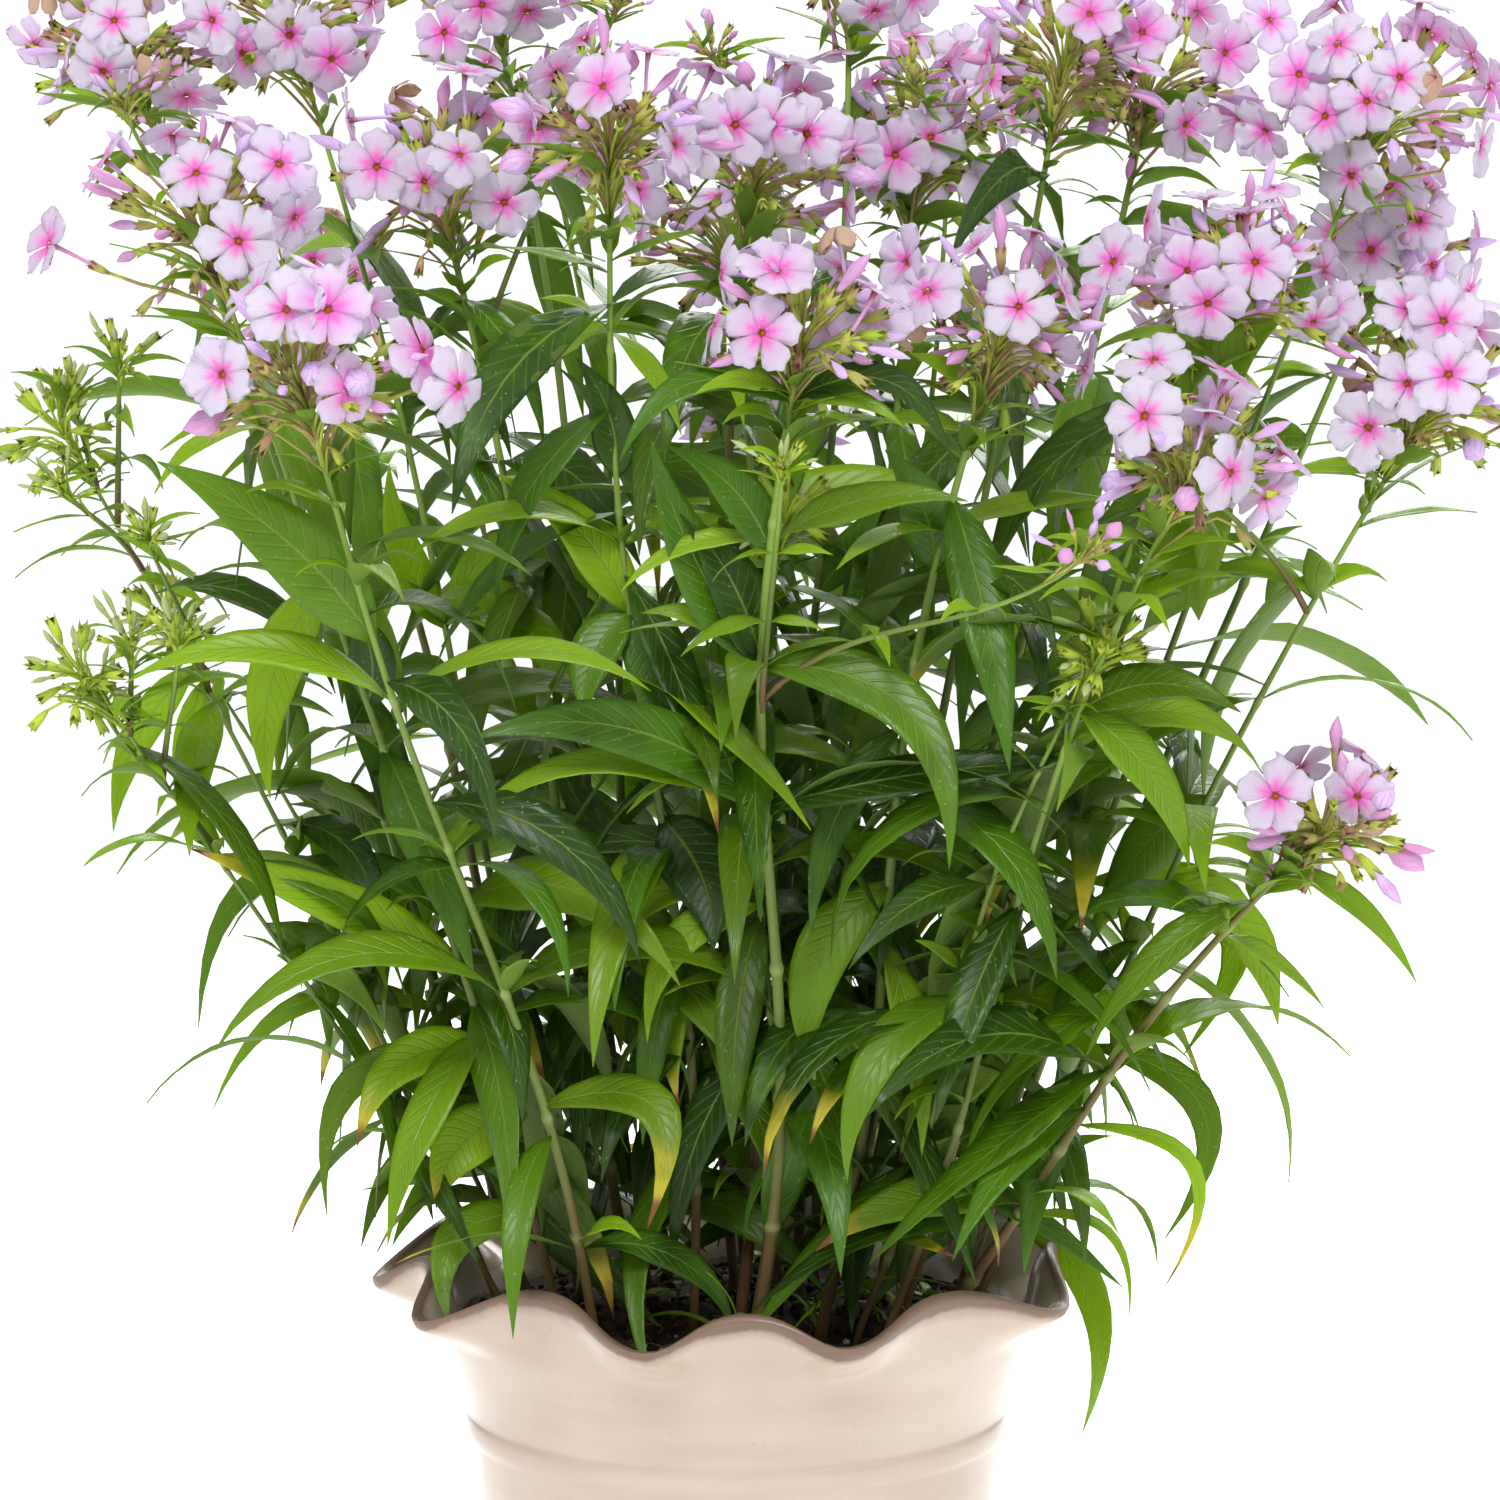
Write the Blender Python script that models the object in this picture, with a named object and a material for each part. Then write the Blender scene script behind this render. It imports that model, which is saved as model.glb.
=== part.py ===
# Phlox plant growing in a ruffled glazed pot, in metres, +Z up.
# The origin is the centre of the pot's underside and the plant's front faces -Y.

import math

import bmesh
import bpy
from mathutils import Vector
from mathutils.bvhtree import BVHTree

# Fit
CLEARANCE = 0.0003

# Pot: a lathed body with a ridge round its middle and a lip waved by hand, so that its
# lobes, given by their headings in degrees, stand unevenly
POT_STEPS = 72
LOBE_HEADINGS = (-179, -148, -103, -73, -27, 15, 57, 100, 141)
LOBE_OUT = 0.007
LOBE_DROP = 0.0055
RUFFLE_FROM_Z = 0.176
LIP_Z = 0.198
FOOT_RADIUS = 0.0740
RIDGE_Z = 0.1430
RIDGE_RADIUS = 0.0945
POT_OUTSIDE = (
    (FOOT_RADIUS, 0.0),
    (FOOT_RADIUS + 0.0025, 0.003),
    (0.0845, 0.070),
    (0.0918, RIDGE_Z - 0.0070),
    (RIDGE_RADIUS, RIDGE_Z - 0.0025),
    (RIDGE_RADIUS, RIDGE_Z + 0.0020),
    (0.0930, RIDGE_Z + 0.0055),
    (0.0985, 0.165),
    (0.1050, 0.180),
    (0.1140, 0.191),
    (0.1175, LIP_Z - 0.0015),
    (0.1165, LIP_Z + 0.0015),
)
SOIL_Z = 0.176
FLOOR_Z = 0.012
POT_INSIDE = (
    (0.1125, LIP_Z + 0.0010),
    (0.1050, 0.189),
    (0.0965, SOIL_Z),
    (0.0900, 0.155),
    (0.0810, 0.090),
    (0.0700, FLOOR_Z),
)

# Stems: each runs from its foot on the soil to a flower head
STEM_SIDES = 1
STEM_POINTS = 13
STEM_FOOT_RADIUS = 0.0023
STEM_TOP_RADIUS = 0.0012
STEM_FOOT_RISE = 0.006
FOOT_SHARE = 0.36
STEM_BOW = 0.006
EARLY_SPREAD = 0.82

# Top of each stem (x, y, z), radius of its flower head, heading of its first leaf
# pair in degrees, and which of its leaf nodes carry a modelled pair
STEMS = (
    ((-0.199, 0.020, 0.588), 0.036, 10, (2, 4)),
    ((-0.163, -0.085, 0.530), 0.035, 145, (2, 4)),
    ((-0.128, -0.150, 0.484), 0.034, 0, (2, 4)),
    ((-0.097, 0.035, 0.542), 0.036, 100, (4,)),
    ((-0.085, 0.115, 0.620), 0.037, 60, (2, 4)),
    ((0.004, -0.035, 0.546), 0.037, 0, (2, 3, 4)),
    ((0.018, -0.140, 0.500), 0.031, 90, (3,)),
    ((0.078, -0.100, 0.496), 0.034, 130, (4,)),
    ((0.039, 0.030, 0.626), 0.037, 70, (4,)),
    ((0.140, 0.065, 0.576), 0.037, 150, (2, 4)),
    ((0.207, -0.010, 0.568), 0.038, 100, (2, 4)),
    ((0.152, -0.080, 0.510), 0.035, 5, (2, 4)),
    ((0.214, -0.075, 0.476), 0.034, 180, (3,)),
    ((0.176, -0.125, 0.352), 0.026, 120, (3,)),
    ((-0.065, 0.165, 0.562), 0.036, 0, (3,)),
    ((0.078, 0.160, 0.570), 0.037, 50, (2, 4)),
)

# Leaf nodes along a stem: share of its height, leaf length, and the pitch of the
# blade in degrees where it leaves the stem and at its tip
LEAF_NODES = (
    (0.14, 0.078, 35, -75),
    (0.28, 0.096, 38, -68),
    (0.42, 0.106, 40, -55),
    (0.58, 0.106, 42, -42),
    (0.74, 0.090, 40, -30),
    (0.88, 0.064, 38, -20),
)
LEAF_WIDTH_SHARE = 0.20
LEAF_THICKNESS = 0.0009
LEAF_FOLD = 0.14
LEAF_OUTLINE = ((0.10, 0.26), (0.28, 0.94), (0.48, 1.00), (0.70, 0.66), (0.88, 0.26))
COLLAR_HEIGHT = 0.0030
COLLAR_WALL = 0.0009
COLLAR_SIDES = 8

# Flower heads: a dome on a short neck, as shares of the head's radius
HEAD_STEPS = 15
HEAD_OUTLINE = ((0.42, 0.24), (0.88, 0.60), (1.0, 0.98), (0.84, 1.38), (0.48, 1.64))
HEAD_HEIGHT = 1.76
HEAD_NECK_RADIUS = 0.0022
HEAD_LUMPS = 0.07
HEAD_LUMP_COUNT = 5


def clear_scene():
    for existing in list(bpy.data.objects):
        bpy.data.objects.remove(existing, do_unlink=True)


def material(name, color, roughness, metallic=0.0):
    made = bpy.data.materials.new(name)
    made.use_nodes = True
    shader = made.node_tree.nodes["Principled BSDF"]
    shader.inputs["Base Color"].default_value = (*color, 1.0)
    shader.inputs["Roughness"].default_value = roughness
    shader.inputs["Metallic"].default_value = metallic
    made.diffuse_color = (*color, 1.0)
    return made


def add_object(name, data, finish):
    made = bpy.data.objects.new(name, data)
    bpy.context.scene.collection.objects.link(made)
    made.data.materials.append(finish)
    return made


def lathe(name, outline, steps, shape=None):
    """Mesh turned from an outline of (radius, z) points, first and last on the axis."""
    bm = bmesh.new()
    points = [bm.verts.new((radius, 0.0, z)) for radius, z in outline]
    edges = [bm.edges.new(pair) for pair in zip(points, points[1:])]
    bmesh.ops.spin(
        bm,
        geom=points + edges,
        cent=(0, 0, 0),
        axis=(0, 0, 1),
        angle=math.tau,
        steps=steps,
        use_merge=True,
    )
    bmesh.ops.remove_doubles(bm, verts=bm.verts, dist=1e-6)
    if shape:
        for vert in bm.verts:
            vert.co = shape(vert.co)
    bmesh.ops.recalc_face_normals(bm, faces=bm.faces)
    mesh = bpy.data.meshes.new(name)
    bm.to_mesh(mesh)
    bm.free()
    mesh.shade_smooth()
    mesh.set_sharp_from_angle(angle=math.radians(40))
    return mesh


def lip_wave(turn):
    """1 at each lobe and -1 at the crest half way to the next, for a heading in radians."""
    degrees = math.degrees(turn)
    for low, high in zip(LOBE_HEADINGS, (*LOBE_HEADINGS[1:], LOBE_HEADINGS[0] + 360)):
        for heading in (degrees, degrees + 360):
            if low <= heading <= high:
                return math.cos(math.tau * (heading - low) / (high - low))


def ruffled(point):
    """Lip's wave: lobes lean out and down, the crests between them stand in and up."""
    share = (point.z - RUFFLE_FROM_Z) / (LIP_Z - RUFFLE_FROM_Z)
    share = min(max(share, 0.0), 1.0)
    share = share * share * (3 - 2 * share)
    across = math.hypot(point.x, point.y)
    if not share or not across:
        return point
    wave = share * lip_wave(math.atan2(point.y, point.x))
    grown = 1 + LOBE_OUT * wave / across
    return Vector((point.x * grown, point.y * grown, point.z - LOBE_DROP * wave))


def make_pot(finish):
    outline = ((0.0, 0.0), *POT_OUTSIDE, *POT_INSIDE, (0.0, FLOOR_Z))
    return add_object("pot", lathe("pot", outline, POT_STEPS, ruffled), finish)


def make_soil(finish):
    """Compost that fills the pot, its side following the pot's inner wall."""
    walls = [(radius - CLEARANCE, z) for radius, z in reversed(POT_INSIDE[2:])]
    floor_radius, floor_z = walls[0]
    walls[0] = (floor_radius, floor_z + CLEARANCE)
    outline = ((0.0, FLOOR_Z + CLEARANCE), *walls, (0.0, SOIL_Z))
    return add_object("soil", lathe("soil", outline, POT_STEPS), finish)


def stem_point(top, share):
    """Point of a stem's centre line at this share of its height."""
    foot = Vector((top.x * FOOT_SHARE, top.y * FOOT_SHARE, SOIL_Z + CLEARANCE))
    spread = EARLY_SPREAD * share + (1 - EARLY_SPREAD) * share * share
    point = foot + (top - foot) * spread
    point.z = foot.z + (top.z - foot.z) * share
    side = Vector((-top.y, top.x, 0.0)).normalized()
    return point + side * STEM_BOW * math.sin(math.tau * share)


def stem_direction(top, share):
    step = 0.01
    low = max(share - step, 0.0)
    high = min(share + step, 1.0)
    return (stem_point(top, high) - stem_point(top, low)).normalized()


def stem_radius(share):
    return STEM_FOOT_RADIUS + (STEM_TOP_RADIUS - STEM_FOOT_RADIUS) * share


def make_stem(name, top, finish):
    curve = bpy.data.curves.new(name, "CURVE")
    curve.dimensions = "3D"
    curve.bevel_depth = 1.0
    curve.bevel_resolution = STEM_SIDES
    curve.use_fill_caps = True
    line = curve.splines.new("POLY")
    line.points.add(STEM_POINTS - 1)
    for index, point in enumerate(line.points):
        share = index / (STEM_POINTS - 1)
        point.co = (*stem_point(top, share), 1.0)
        point.radius = stem_radius(share)
    # The foot starts straight up, so that its end is level and stands flat on the compost.
    foot = line.points[0].co
    line.points[1].co = (foot.x, foot.y, foot.z + STEM_FOOT_RISE, 1.0)
    return add_object(name, curve, finish)


def make_head(name, top, radius, finish):
    """Domed flower head standing on its stem's end and tilted as the stem is."""
    outline = [(0.0, 0.0), (HEAD_NECK_RADIUS, 0.0)]
    outline += [(radius * across, radius * up) for across, up in HEAD_OUTLINE]
    outline += [(0.0, radius * HEAD_HEIGHT)]

    def lumpy(point):
        turn = HEAD_LUMP_COUNT * math.atan2(point.y, point.x)
        grown = 1 + HEAD_LUMPS * math.cos(turn) * min(point.z / radius, 1.0)
        return Vector((point.x * grown, point.y * grown, point.z))

    made = add_object(name, lathe(name, outline, HEAD_STEPS, lumpy), finish)
    lean = stem_direction(top, 1.0)
    made.rotation_euler = lean.to_track_quat("Z", "Y").to_euler()
    made.location = top + lean * CLEARANCE
    return made


def leaf_pair_mesh(top, node, heading, shrink=1.0, thickness=LEAF_THICKNESS):
    """Points and faces of two opposite leaves that grow from a collar round the stem."""
    share, length, rise, fall = LEAF_NODES[node]
    length *= shrink
    centre = stem_point(top, share)
    axis = stem_direction(top, share)
    ahead = Vector((math.cos(heading), math.sin(heading), 0.0))
    across = axis.cross(ahead).normalized()
    ahead = across.cross(axis)
    inner = (stem_radius(share) + CLEARANCE) / math.cos(math.pi / COLLAR_SIDES)
    points = []
    for radius in (inner, inner + COLLAR_WALL):
        for height in (-COLLAR_HEIGHT / 2, COLLAR_HEIGHT / 2):
            for side in range(COLLAR_SIDES):
                turn = math.tau * (side - 1) / COLLAR_SIDES
                spoke = ahead * math.cos(turn) + across * math.sin(turn)
                points.append(centre + axis * height + spoke * radius)
    inner_low, inner_high, outer_low, outer_high = (
        [row * COLLAR_SIDES + side for side in range(COLLAR_SIDES)] for row in range(4)
    )
    half = COLLAR_SIDES // 2
    faces = []
    for side in range(COLLAR_SIDES):
        beyond = (side + 1) % COLLAR_SIDES
        faces.append((inner_low[side], inner_high[side], inner_high[beyond], inner_low[beyond]))
        faces.append((inner_high[side], outer_high[side], outer_high[beyond], inner_high[beyond]))
        faces.append((outer_low[side], inner_low[side], inner_low[beyond], outer_low[beyond]))
        if side % half > 1:
            faces.append((outer_high[side], outer_low[side], outer_low[beyond], outer_high[beyond]))
    for start in (0, half):
        root = points[outer_low[start + 1]].lerp(points[outer_high[start + 1]], 0.5)
        level = Vector((root.x - centre.x, root.y - centre.y, 0.0)).normalized()
        section = [outer_low[start + step] for step in range(3)]
        section += [outer_high[start + step] for step in (2, 1, 0)]
        grow_leaf(points, faces, section, root, level, length, (rise, fall), thickness)
    return points, faces


def grow_leaf(points, faces, section, root, level, length, pitches, thickness):
    """Adds one arching blade to a collar, from its six corners out to a pointed tip."""
    side = Vector((0.0, 0.0, 1.0)).cross(level)
    rise, fall = (math.radians(pitch) for pitch in pitches)
    place = root.copy()
    reached = 0.0
    for share, wide in (*LEAF_OUTLINE, (1.0, 0.0)):
        pitch = rise + (fall - rise) * (reached + share) / 2
        place += (level * math.cos(pitch) + Vector((0, 0, math.sin(pitch)))) * length * (share - reached)
        reached = share
        pitch = rise + (fall - rise) * share
        normal = Vector((0, 0, math.cos(pitch))) - level * math.sin(pitch)
        if not wide:
            faces.extend((section[i], section[i - 1], len(points)) for i in range(6))
            points.append(place)
            return
        reach = side * wide * length * LEAF_WIDTH_SHARE / 2
        edge_lift = normal * reach.length * 2 * LEAF_FOLD
        under = normal * -thickness / 2
        loop = [place - reach + edge_lift + under, place + under, place + reach + edge_lift + under]
        loop += [point - under * 2 for point in reversed(loop)]
        new = list(range(len(points), len(points) + 6))
        points.extend(loop)
        faces.extend((section[i - 1], section[i], new[i], new[i - 1]) for i in range(6))
        section = new


def evaluated_tree(made):
    """Search tree of an object's surface as it stands in the scene."""
    graph = bpy.context.evaluated_depsgraph_get()
    mesh = bpy.data.meshes.new_from_object(made.evaluated_get(graph))
    mesh.transform(made.matrix_world)
    tree = BVHTree.FromPolygons(
        [vert.co for vert in mesh.vertices], [list(face.vertices) for face in mesh.polygons]
    )
    bpy.data.meshes.remove(mesh)
    return tree


def clear_leaf_pair(top, node, first_heading, obstacles):
    """The pair nearest its own heading that touches no other piece, turned or shortened to fit."""
    turns = [0] + [sign * turn for turn in range(8, 89, 8) for sign in (1, -1)]
    for shrink in (1.0, 0.9, 0.8, 0.65):
        for turn in turns:
            heading = math.radians(first_heading + 90 * node + turn)
            wide = BVHTree.FromPolygons(
                *leaf_pair_mesh(top, node, heading, shrink, LEAF_THICKNESS * 2)
            )
            if not any(wide.overlap(other) for other in obstacles):
                return leaf_pair_mesh(top, node, heading, shrink)
    raise ValueError(f"no room for the leaves of node {node} on the stem to {top}")


def make_leaf_pair(name, points, faces, finish):
    mesh = bpy.data.meshes.new(name)
    mesh.from_pydata(points, [], faces)
    bm = bmesh.new()
    bm.from_mesh(mesh)
    bmesh.ops.recalc_face_normals(bm, faces=bm.faces)
    bm.to_mesh(mesh)
    bm.free()
    mesh.shade_smooth()
    mesh.set_sharp_from_angle(angle=math.radians(40))
    return add_object(name, mesh, finish)


def main():
    clear_scene()
    glaze = material("cream_glaze", (0.73, 0.62, 0.50), 0.22)
    compost = material("dark_compost", (0.030, 0.018, 0.012), 0.95)
    stem_green = material("stem_green", (0.20, 0.26, 0.06), 0.55)
    leaf_green = material("leaf_green", (0.045, 0.14, 0.030), 0.42)
    petal_lilac = material("petal_lilac", (0.72, 0.55, 0.80), 0.60)

    pieces = [make_pot(glaze), make_soil(compost)]
    tops = [Vector(top) for top, *_ in STEMS]
    for index, (top, row) in enumerate(zip(tops, STEMS), 1):
        pieces.append(make_stem(f"stem_{index:02d}", top, stem_green))
        pieces.append(make_head(f"flower_head_{index:02d}", top, row[1], petal_lilac))
    bpy.context.view_layer.update()

    obstacles = [evaluated_tree(piece) for piece in pieces]
    count = 0
    for top, (_, _, first_heading, nodes) in zip(tops, STEMS):
        for node in nodes:
            count += 1
            points, faces = clear_leaf_pair(top, node, first_heading, obstacles)
            make_leaf_pair(f"leaf_pair_{count:02d}", points, faces, leaf_green)
            obstacles.append(BVHTree.FromPolygons(points, faces))


main()
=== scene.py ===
import math

import bpy
import numpy as np
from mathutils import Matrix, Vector, noise


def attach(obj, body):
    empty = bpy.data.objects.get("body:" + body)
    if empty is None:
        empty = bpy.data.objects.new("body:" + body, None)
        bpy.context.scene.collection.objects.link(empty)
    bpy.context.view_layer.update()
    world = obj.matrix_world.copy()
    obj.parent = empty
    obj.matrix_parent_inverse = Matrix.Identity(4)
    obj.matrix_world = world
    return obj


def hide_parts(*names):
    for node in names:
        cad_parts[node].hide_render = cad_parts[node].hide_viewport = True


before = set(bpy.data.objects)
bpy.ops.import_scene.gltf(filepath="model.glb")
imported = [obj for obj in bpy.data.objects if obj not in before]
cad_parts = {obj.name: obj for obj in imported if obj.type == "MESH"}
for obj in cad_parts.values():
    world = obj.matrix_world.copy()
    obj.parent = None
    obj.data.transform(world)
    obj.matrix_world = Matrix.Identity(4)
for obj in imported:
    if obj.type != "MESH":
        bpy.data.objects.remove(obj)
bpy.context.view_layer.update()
print("frame loaded:", len(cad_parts), "nodes")

# Camera: level with the flowers and a little above the pot, as the photograph was taken
cameraView = {
    "distance": 1.70,
    "height": 0.567,
    "sideways": 0.005,
    "pitch": math.radians(6.45),
    "mmAcross": 510.0,  # width of the view at the pot's axis
}
up = np.array([0.0, 0.0, 1.0])


def makeCamera():
    data = bpy.data.cameras.new("camera")
    data.lens = data.sensor_width * cameraView["distance"] * 1000 / cameraView["mmAcross"]
    camera = bpy.data.objects.new("camera", data)
    camera.location = (cameraView["sideways"], -cameraView["distance"], cameraView["height"])
    camera.rotation_euler = (math.pi / 2 - cameraView["pitch"], 0.0, 0.0)
    bpy.context.scene.collection.objects.link(camera)
    bpy.context.scene.camera = camera


# Point at this depth (y) that the camera sees where (x, 0, z) stands; millimetres in, metres out
def inView(x, z, depth):
    eye = np.array([cameraView["sideways"], -cameraView["distance"], cameraView["height"]])
    target = np.array([x / 1000, 0.0, z / 1000])
    return eye + (target - eye) * (depth / 1000 + cameraView["distance"]) / cameraView["distance"]


makeCamera()


# Node helpers: every input is either a value or another node's output
def addNode(tree, kind, inputs=None, **settings):
    made = tree.nodes.new(kind)
    for name, value in settings.items():
        setattr(made, name, value)
    for key, value in (inputs or {}).items():
        if isinstance(value, bpy.types.NodeSocket):
            tree.links.new(value, made.inputs[key])
        else:
            made.inputs[key].default_value = value
    return made


def calc(tree, operation, first, second=0.0, clamp=False):
    made = addNode(tree, "ShaderNodeMath", {0: first, 1: second}, operation=operation, use_clamp=clamp)
    return made.outputs[0]


def times(tree, first, second):
    return calc(tree, "MULTIPLY", first, second)


def plus(tree, first, second):
    return calc(tree, "ADD", first, second)


def minus(tree, first, second, clamp=False):
    return calc(tree, "SUBTRACT", first, second, clamp)


def blendColors(tree, amount, first, second, mode="MIX"):
    made = addNode(tree, "ShaderNodeMix", data_type="RGBA", blend_type=mode)
    for index, value in ((0, amount), (6, first), (7, second)):
        if isinstance(value, bpy.types.NodeSocket):
            tree.links.new(value, made.inputs[index])
        elif index == 0:
            made.inputs[index].default_value = value
        else:
            made.inputs[index].default_value = (*value, 1.0)
    return made.outputs[2]


def easeBetween(tree, value, low, high):
    made = addNode(
        tree,
        "ShaderNodeMapRange",
        {"Value": value, "From Min": low, "From Max": high},
        interpolation_type="SMOOTHSTEP",
    )
    return made.outputs["Result"]


def readMark(tree, name):
    mark = addNode(tree, "ShaderNodeAttribute", attribute_name=name)
    parts = addNode(tree, "ShaderNodeSeparateXYZ", {0: mark.outputs["Vector"]})
    return parts.outputs[0], parts.outputs[1], parts.outputs[2]


def newGroup(name, inputs, outputs):
    group = bpy.data.node_groups.new(name, "ShaderNodeTree")
    for label, kind, value in inputs:
        socket = group.interface.new_socket(label, in_out="INPUT", socket_type=kind)
        if value is not None:
            socket.default_value = value
    for label, kind in outputs:
        group.interface.new_socket(label, in_out="OUTPUT", socket_type=kind)
    return group, group.nodes.new("NodeGroupInput").outputs, group.nodes.new("NodeGroupOutput").inputs


def useGroup(tree, group, inputs):
    return addNode(tree, "ShaderNodeGroup", inputs, node_tree=group).outputs


def objectPlace(tree):
    return addNode(tree, "ShaderNodeTexCoord").outputs["Object"]


# Soft patches of two colours
def makeMottle():
    group, given, result = newGroup(
        "mottle",
        (
            ("Vector", "NodeSocketVector", None),
            ("Scale", "NodeSocketFloat", 40.0),
            ("Detail", "NodeSocketFloat", 4.0),
            ("Shift", "NodeSocketFloat", 0.0),
            ("First", "NodeSocketColor", None),
            ("Second", "NodeSocketColor", None),
        ),
        (("Color", "NodeSocketColor"), ("Value", "NodeSocketFloat")),
    )
    patches = addNode(
        group,
        "ShaderNodeTexNoise",
        {"Vector": given["Vector"], "Scale": given["Scale"], "Detail": given["Detail"]},
    )
    spread = easeBetween(group, plus(group, patches.outputs[0], given["Shift"]), 0.30, 0.70)
    mixed = addNode(group, "ShaderNodeMix", data_type="RGBA")
    group.links.new(spread, mixed.inputs[0])
    group.links.new(given["First"], mixed.inputs[6])
    group.links.new(given["Second"], mixed.inputs[7])
    group.links.new(mixed.outputs[2], result["Color"])
    group.links.new(spread, result["Value"])
    return group


# Small separate dots, as a mask
def makeSpecks():
    group, given, result = newGroup(
        "specks",
        (
            ("Vector", "NodeSocketVector", None),
            ("Scale", "NodeSocketFloat", 600.0),
            ("Size", "NodeSocketFloat", 0.25),
            ("Share", "NodeSocketFloat", 0.5),
        ),
        (("Mask", "NodeSocketFloat"),),
    )
    cells = addNode(
        group, "ShaderNodeTexVoronoi", {"Vector": given["Vector"], "Scale": given["Scale"]}
    )
    dots = calc(group, "LESS_THAN", cells.outputs["Distance"], given["Size"])
    shades = addNode(group, "ShaderNodeSeparateColor", {0: cells.outputs["Color"]})
    kept = calc(group, "LESS_THAN", shades.outputs[0], given["Share"])
    group.links.new(times(group, dots, kept), result["Mask"])
    return group


# Midrib and slanting side veins of a blade, from its own coordinates: along 0 to 1, across -1 to 1
def makeVeins():
    group, given, result = newGroup(
        "veins",
        (
            ("Along", "NodeSocketFloat", 0.0),
            ("Across", "NodeSocketFloat", 0.0),
            ("Count", "NodeSocketFloat", 14.0),
            ("Slant", "NodeSocketFloat", 0.16),
            ("Rib", "NodeSocketFloat", 0.07),
        ),
        (("Midrib", "NodeSocketFloat"), ("Side", "NodeSocketFloat")),
    )
    away = calc(group, "ABSOLUTE", given["Across"])
    slim = times(group, given["Rib"], minus(group, 1.35, given["Along"]))
    midrib = minus(group, 1.0, calc(group, "DIVIDE", away, slim), clamp=True)
    course = minus(group, given["Along"], times(group, away, given["Slant"]))
    turn = times(group, times(group, course, given["Count"]), math.tau)
    side = easeBetween(group, calc(group, "SINE", turn), 0.55, 1.0)
    fade = minus(group, 1.0, easeBetween(group, away, 0.62, 0.98))
    group.links.new(midrib, result["Midrib"])
    group.links.new(times(group, side, fade), result["Side"])
    return group


mottle = makeMottle()
specks = makeSpecks()
veins = makeVeins()


def newMaterial(name):
    made = bpy.data.materials.new(name)
    made.use_nodes = True
    tree = made.node_tree
    tree.nodes.clear()
    return made, tree


def noiseAt(tree, where, scale, **settings):
    return addNode(tree, "ShaderNodeTexNoise", {"Vector": where, "Scale": scale, **settings}).outputs[0]


def patchesAt(tree, where, scale, first, second, **settings):
    colors = {"First": (*first, 1.0), "Second": (*second, 1.0)}
    return useGroup(tree, mottle, {"Vector": where, "Scale": scale, **colors, **settings})


def specksAt(tree, where, scale, size, share):
    return useGroup(tree, specks, {"Vector": where, "Scale": scale, "Size": size, "Share": share})["Mask"]


# Colour with another laid over it where the mask is, by this amount
def tinted(tree, color, mask, amount, over):
    return blendColors(tree, times(tree, mask, amount), color, over)


# Surface with a bump of (height, strength, distance); a thin piece lets light through
def finishMaterial(tree, color, rough, specular, bump=None, through=None, share=0.0, more=None):
    settings = {"Base Color": color, "Roughness": rough, "Specular IOR Level": specular, **(more or {})}
    if bump:
        relief = addNode(tree, "ShaderNodeBump", dict(zip(("Height", "Strength", "Distance"), bump)))
        settings["Normal"] = relief.outputs[0]
    shader = addNode(tree, "ShaderNodeBsdfPrincipled", settings).outputs[0]
    if through is not None:
        passing = addNode(tree, "ShaderNodeBsdfTranslucent", {"Color": through}).outputs[0]
        shader = addNode(tree, "ShaderNodeMixShader", {0: share, 1: shader, 2: passing}).outputs[0]
    addNode(tree, "ShaderNodeOutputMaterial", {"Surface": shader})


leafColors = {
    "dark": (0.015, 0.048, 0.003),
    "light": (0.062, 0.172, 0.006),
    # colour of young leaves, which also paints the backlit glow on the leaves at the two sides
    "youngLeafAndBacklitGlow": (0.300, 0.500, 0.010),
    "under": (0.160, 0.240, 0.050),
    "rib": (0.270, 0.390, 0.060),
    "speck": (0.480, 0.570, 0.440),
    "yellow": (0.660, 0.520, 0.040),
    "brown": (0.260, 0.100, 0.040),
    "through": (0.460, 0.700, 0.005),
    "letThrough": 0.36,
}


def makeLeafMaterial():
    look = leafColors
    made, tree = newMaterial("phloxLeaf")
    along, across, side = readMark(tree, "place")
    chance, age, dryness = readMark(tree, "nature")
    where = objectPlace(tree)
    lines = useGroup(tree, veins, {"Along": along, "Across": across})
    patches = patchesAt(tree, where, 55.0, look["dark"], look["light"], Shift=minus(tree, chance, 0.5))
    # mask of young leaves, and of the painted backlit glow on the leaves at the two sides
    youthAndBacklitGlow = easeBetween(tree, minus(tree, 1.0, age), 0.15, 1.1)
    color = blendColors(tree, youthAndBacklitGlow, patches["Color"], look["youngLeafAndBacklitGlow"])
    color = tinted(tree, color, lines["Side"], 0.16, look["rib"])
    color = tinted(tree, color, specksAt(tree, where, 620.0, 0.22, 0.16), 0.35, look["speck"])
    color = tinted(tree, color, lines["Midrib"], 0.85, look["rib"])
    color = tinted(tree, color, side, 0.62, look["under"])
    wander = noiseAt(tree, where, 90.0)
    reach = plus(tree, along, times(tree, wander, 0.22))
    yellowed = times(tree, easeBetween(tree, reach, 0.78, 1.02), dryness)
    browned = times(tree, easeBetween(tree, reach, 0.98, 1.07), dryness)
    color = blendColors(tree, yellowed, color, look["yellow"])
    color = blendColors(tree, browned, color, look["brown"])
    through = blendColors(tree, 0.78, color, look["through"])
    through = blendColors(tree, browned, through, look["brown"])
    fine = noiseAt(tree, where, 420.0, Detail=3.0)
    height = minus(tree, minus(tree, times(tree, fine, 0.35), lines["Side"]), lines["Midrib"])
    rough = plus(tree, 0.26, times(tree, wander, 0.16))
    rough = plus(tree, rough, times(tree, side, 0.26))
    finishMaterial(tree, color, rough, 0.40, (height, 0.50, 0.0006), through, look["letThrough"])
    return made


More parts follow.
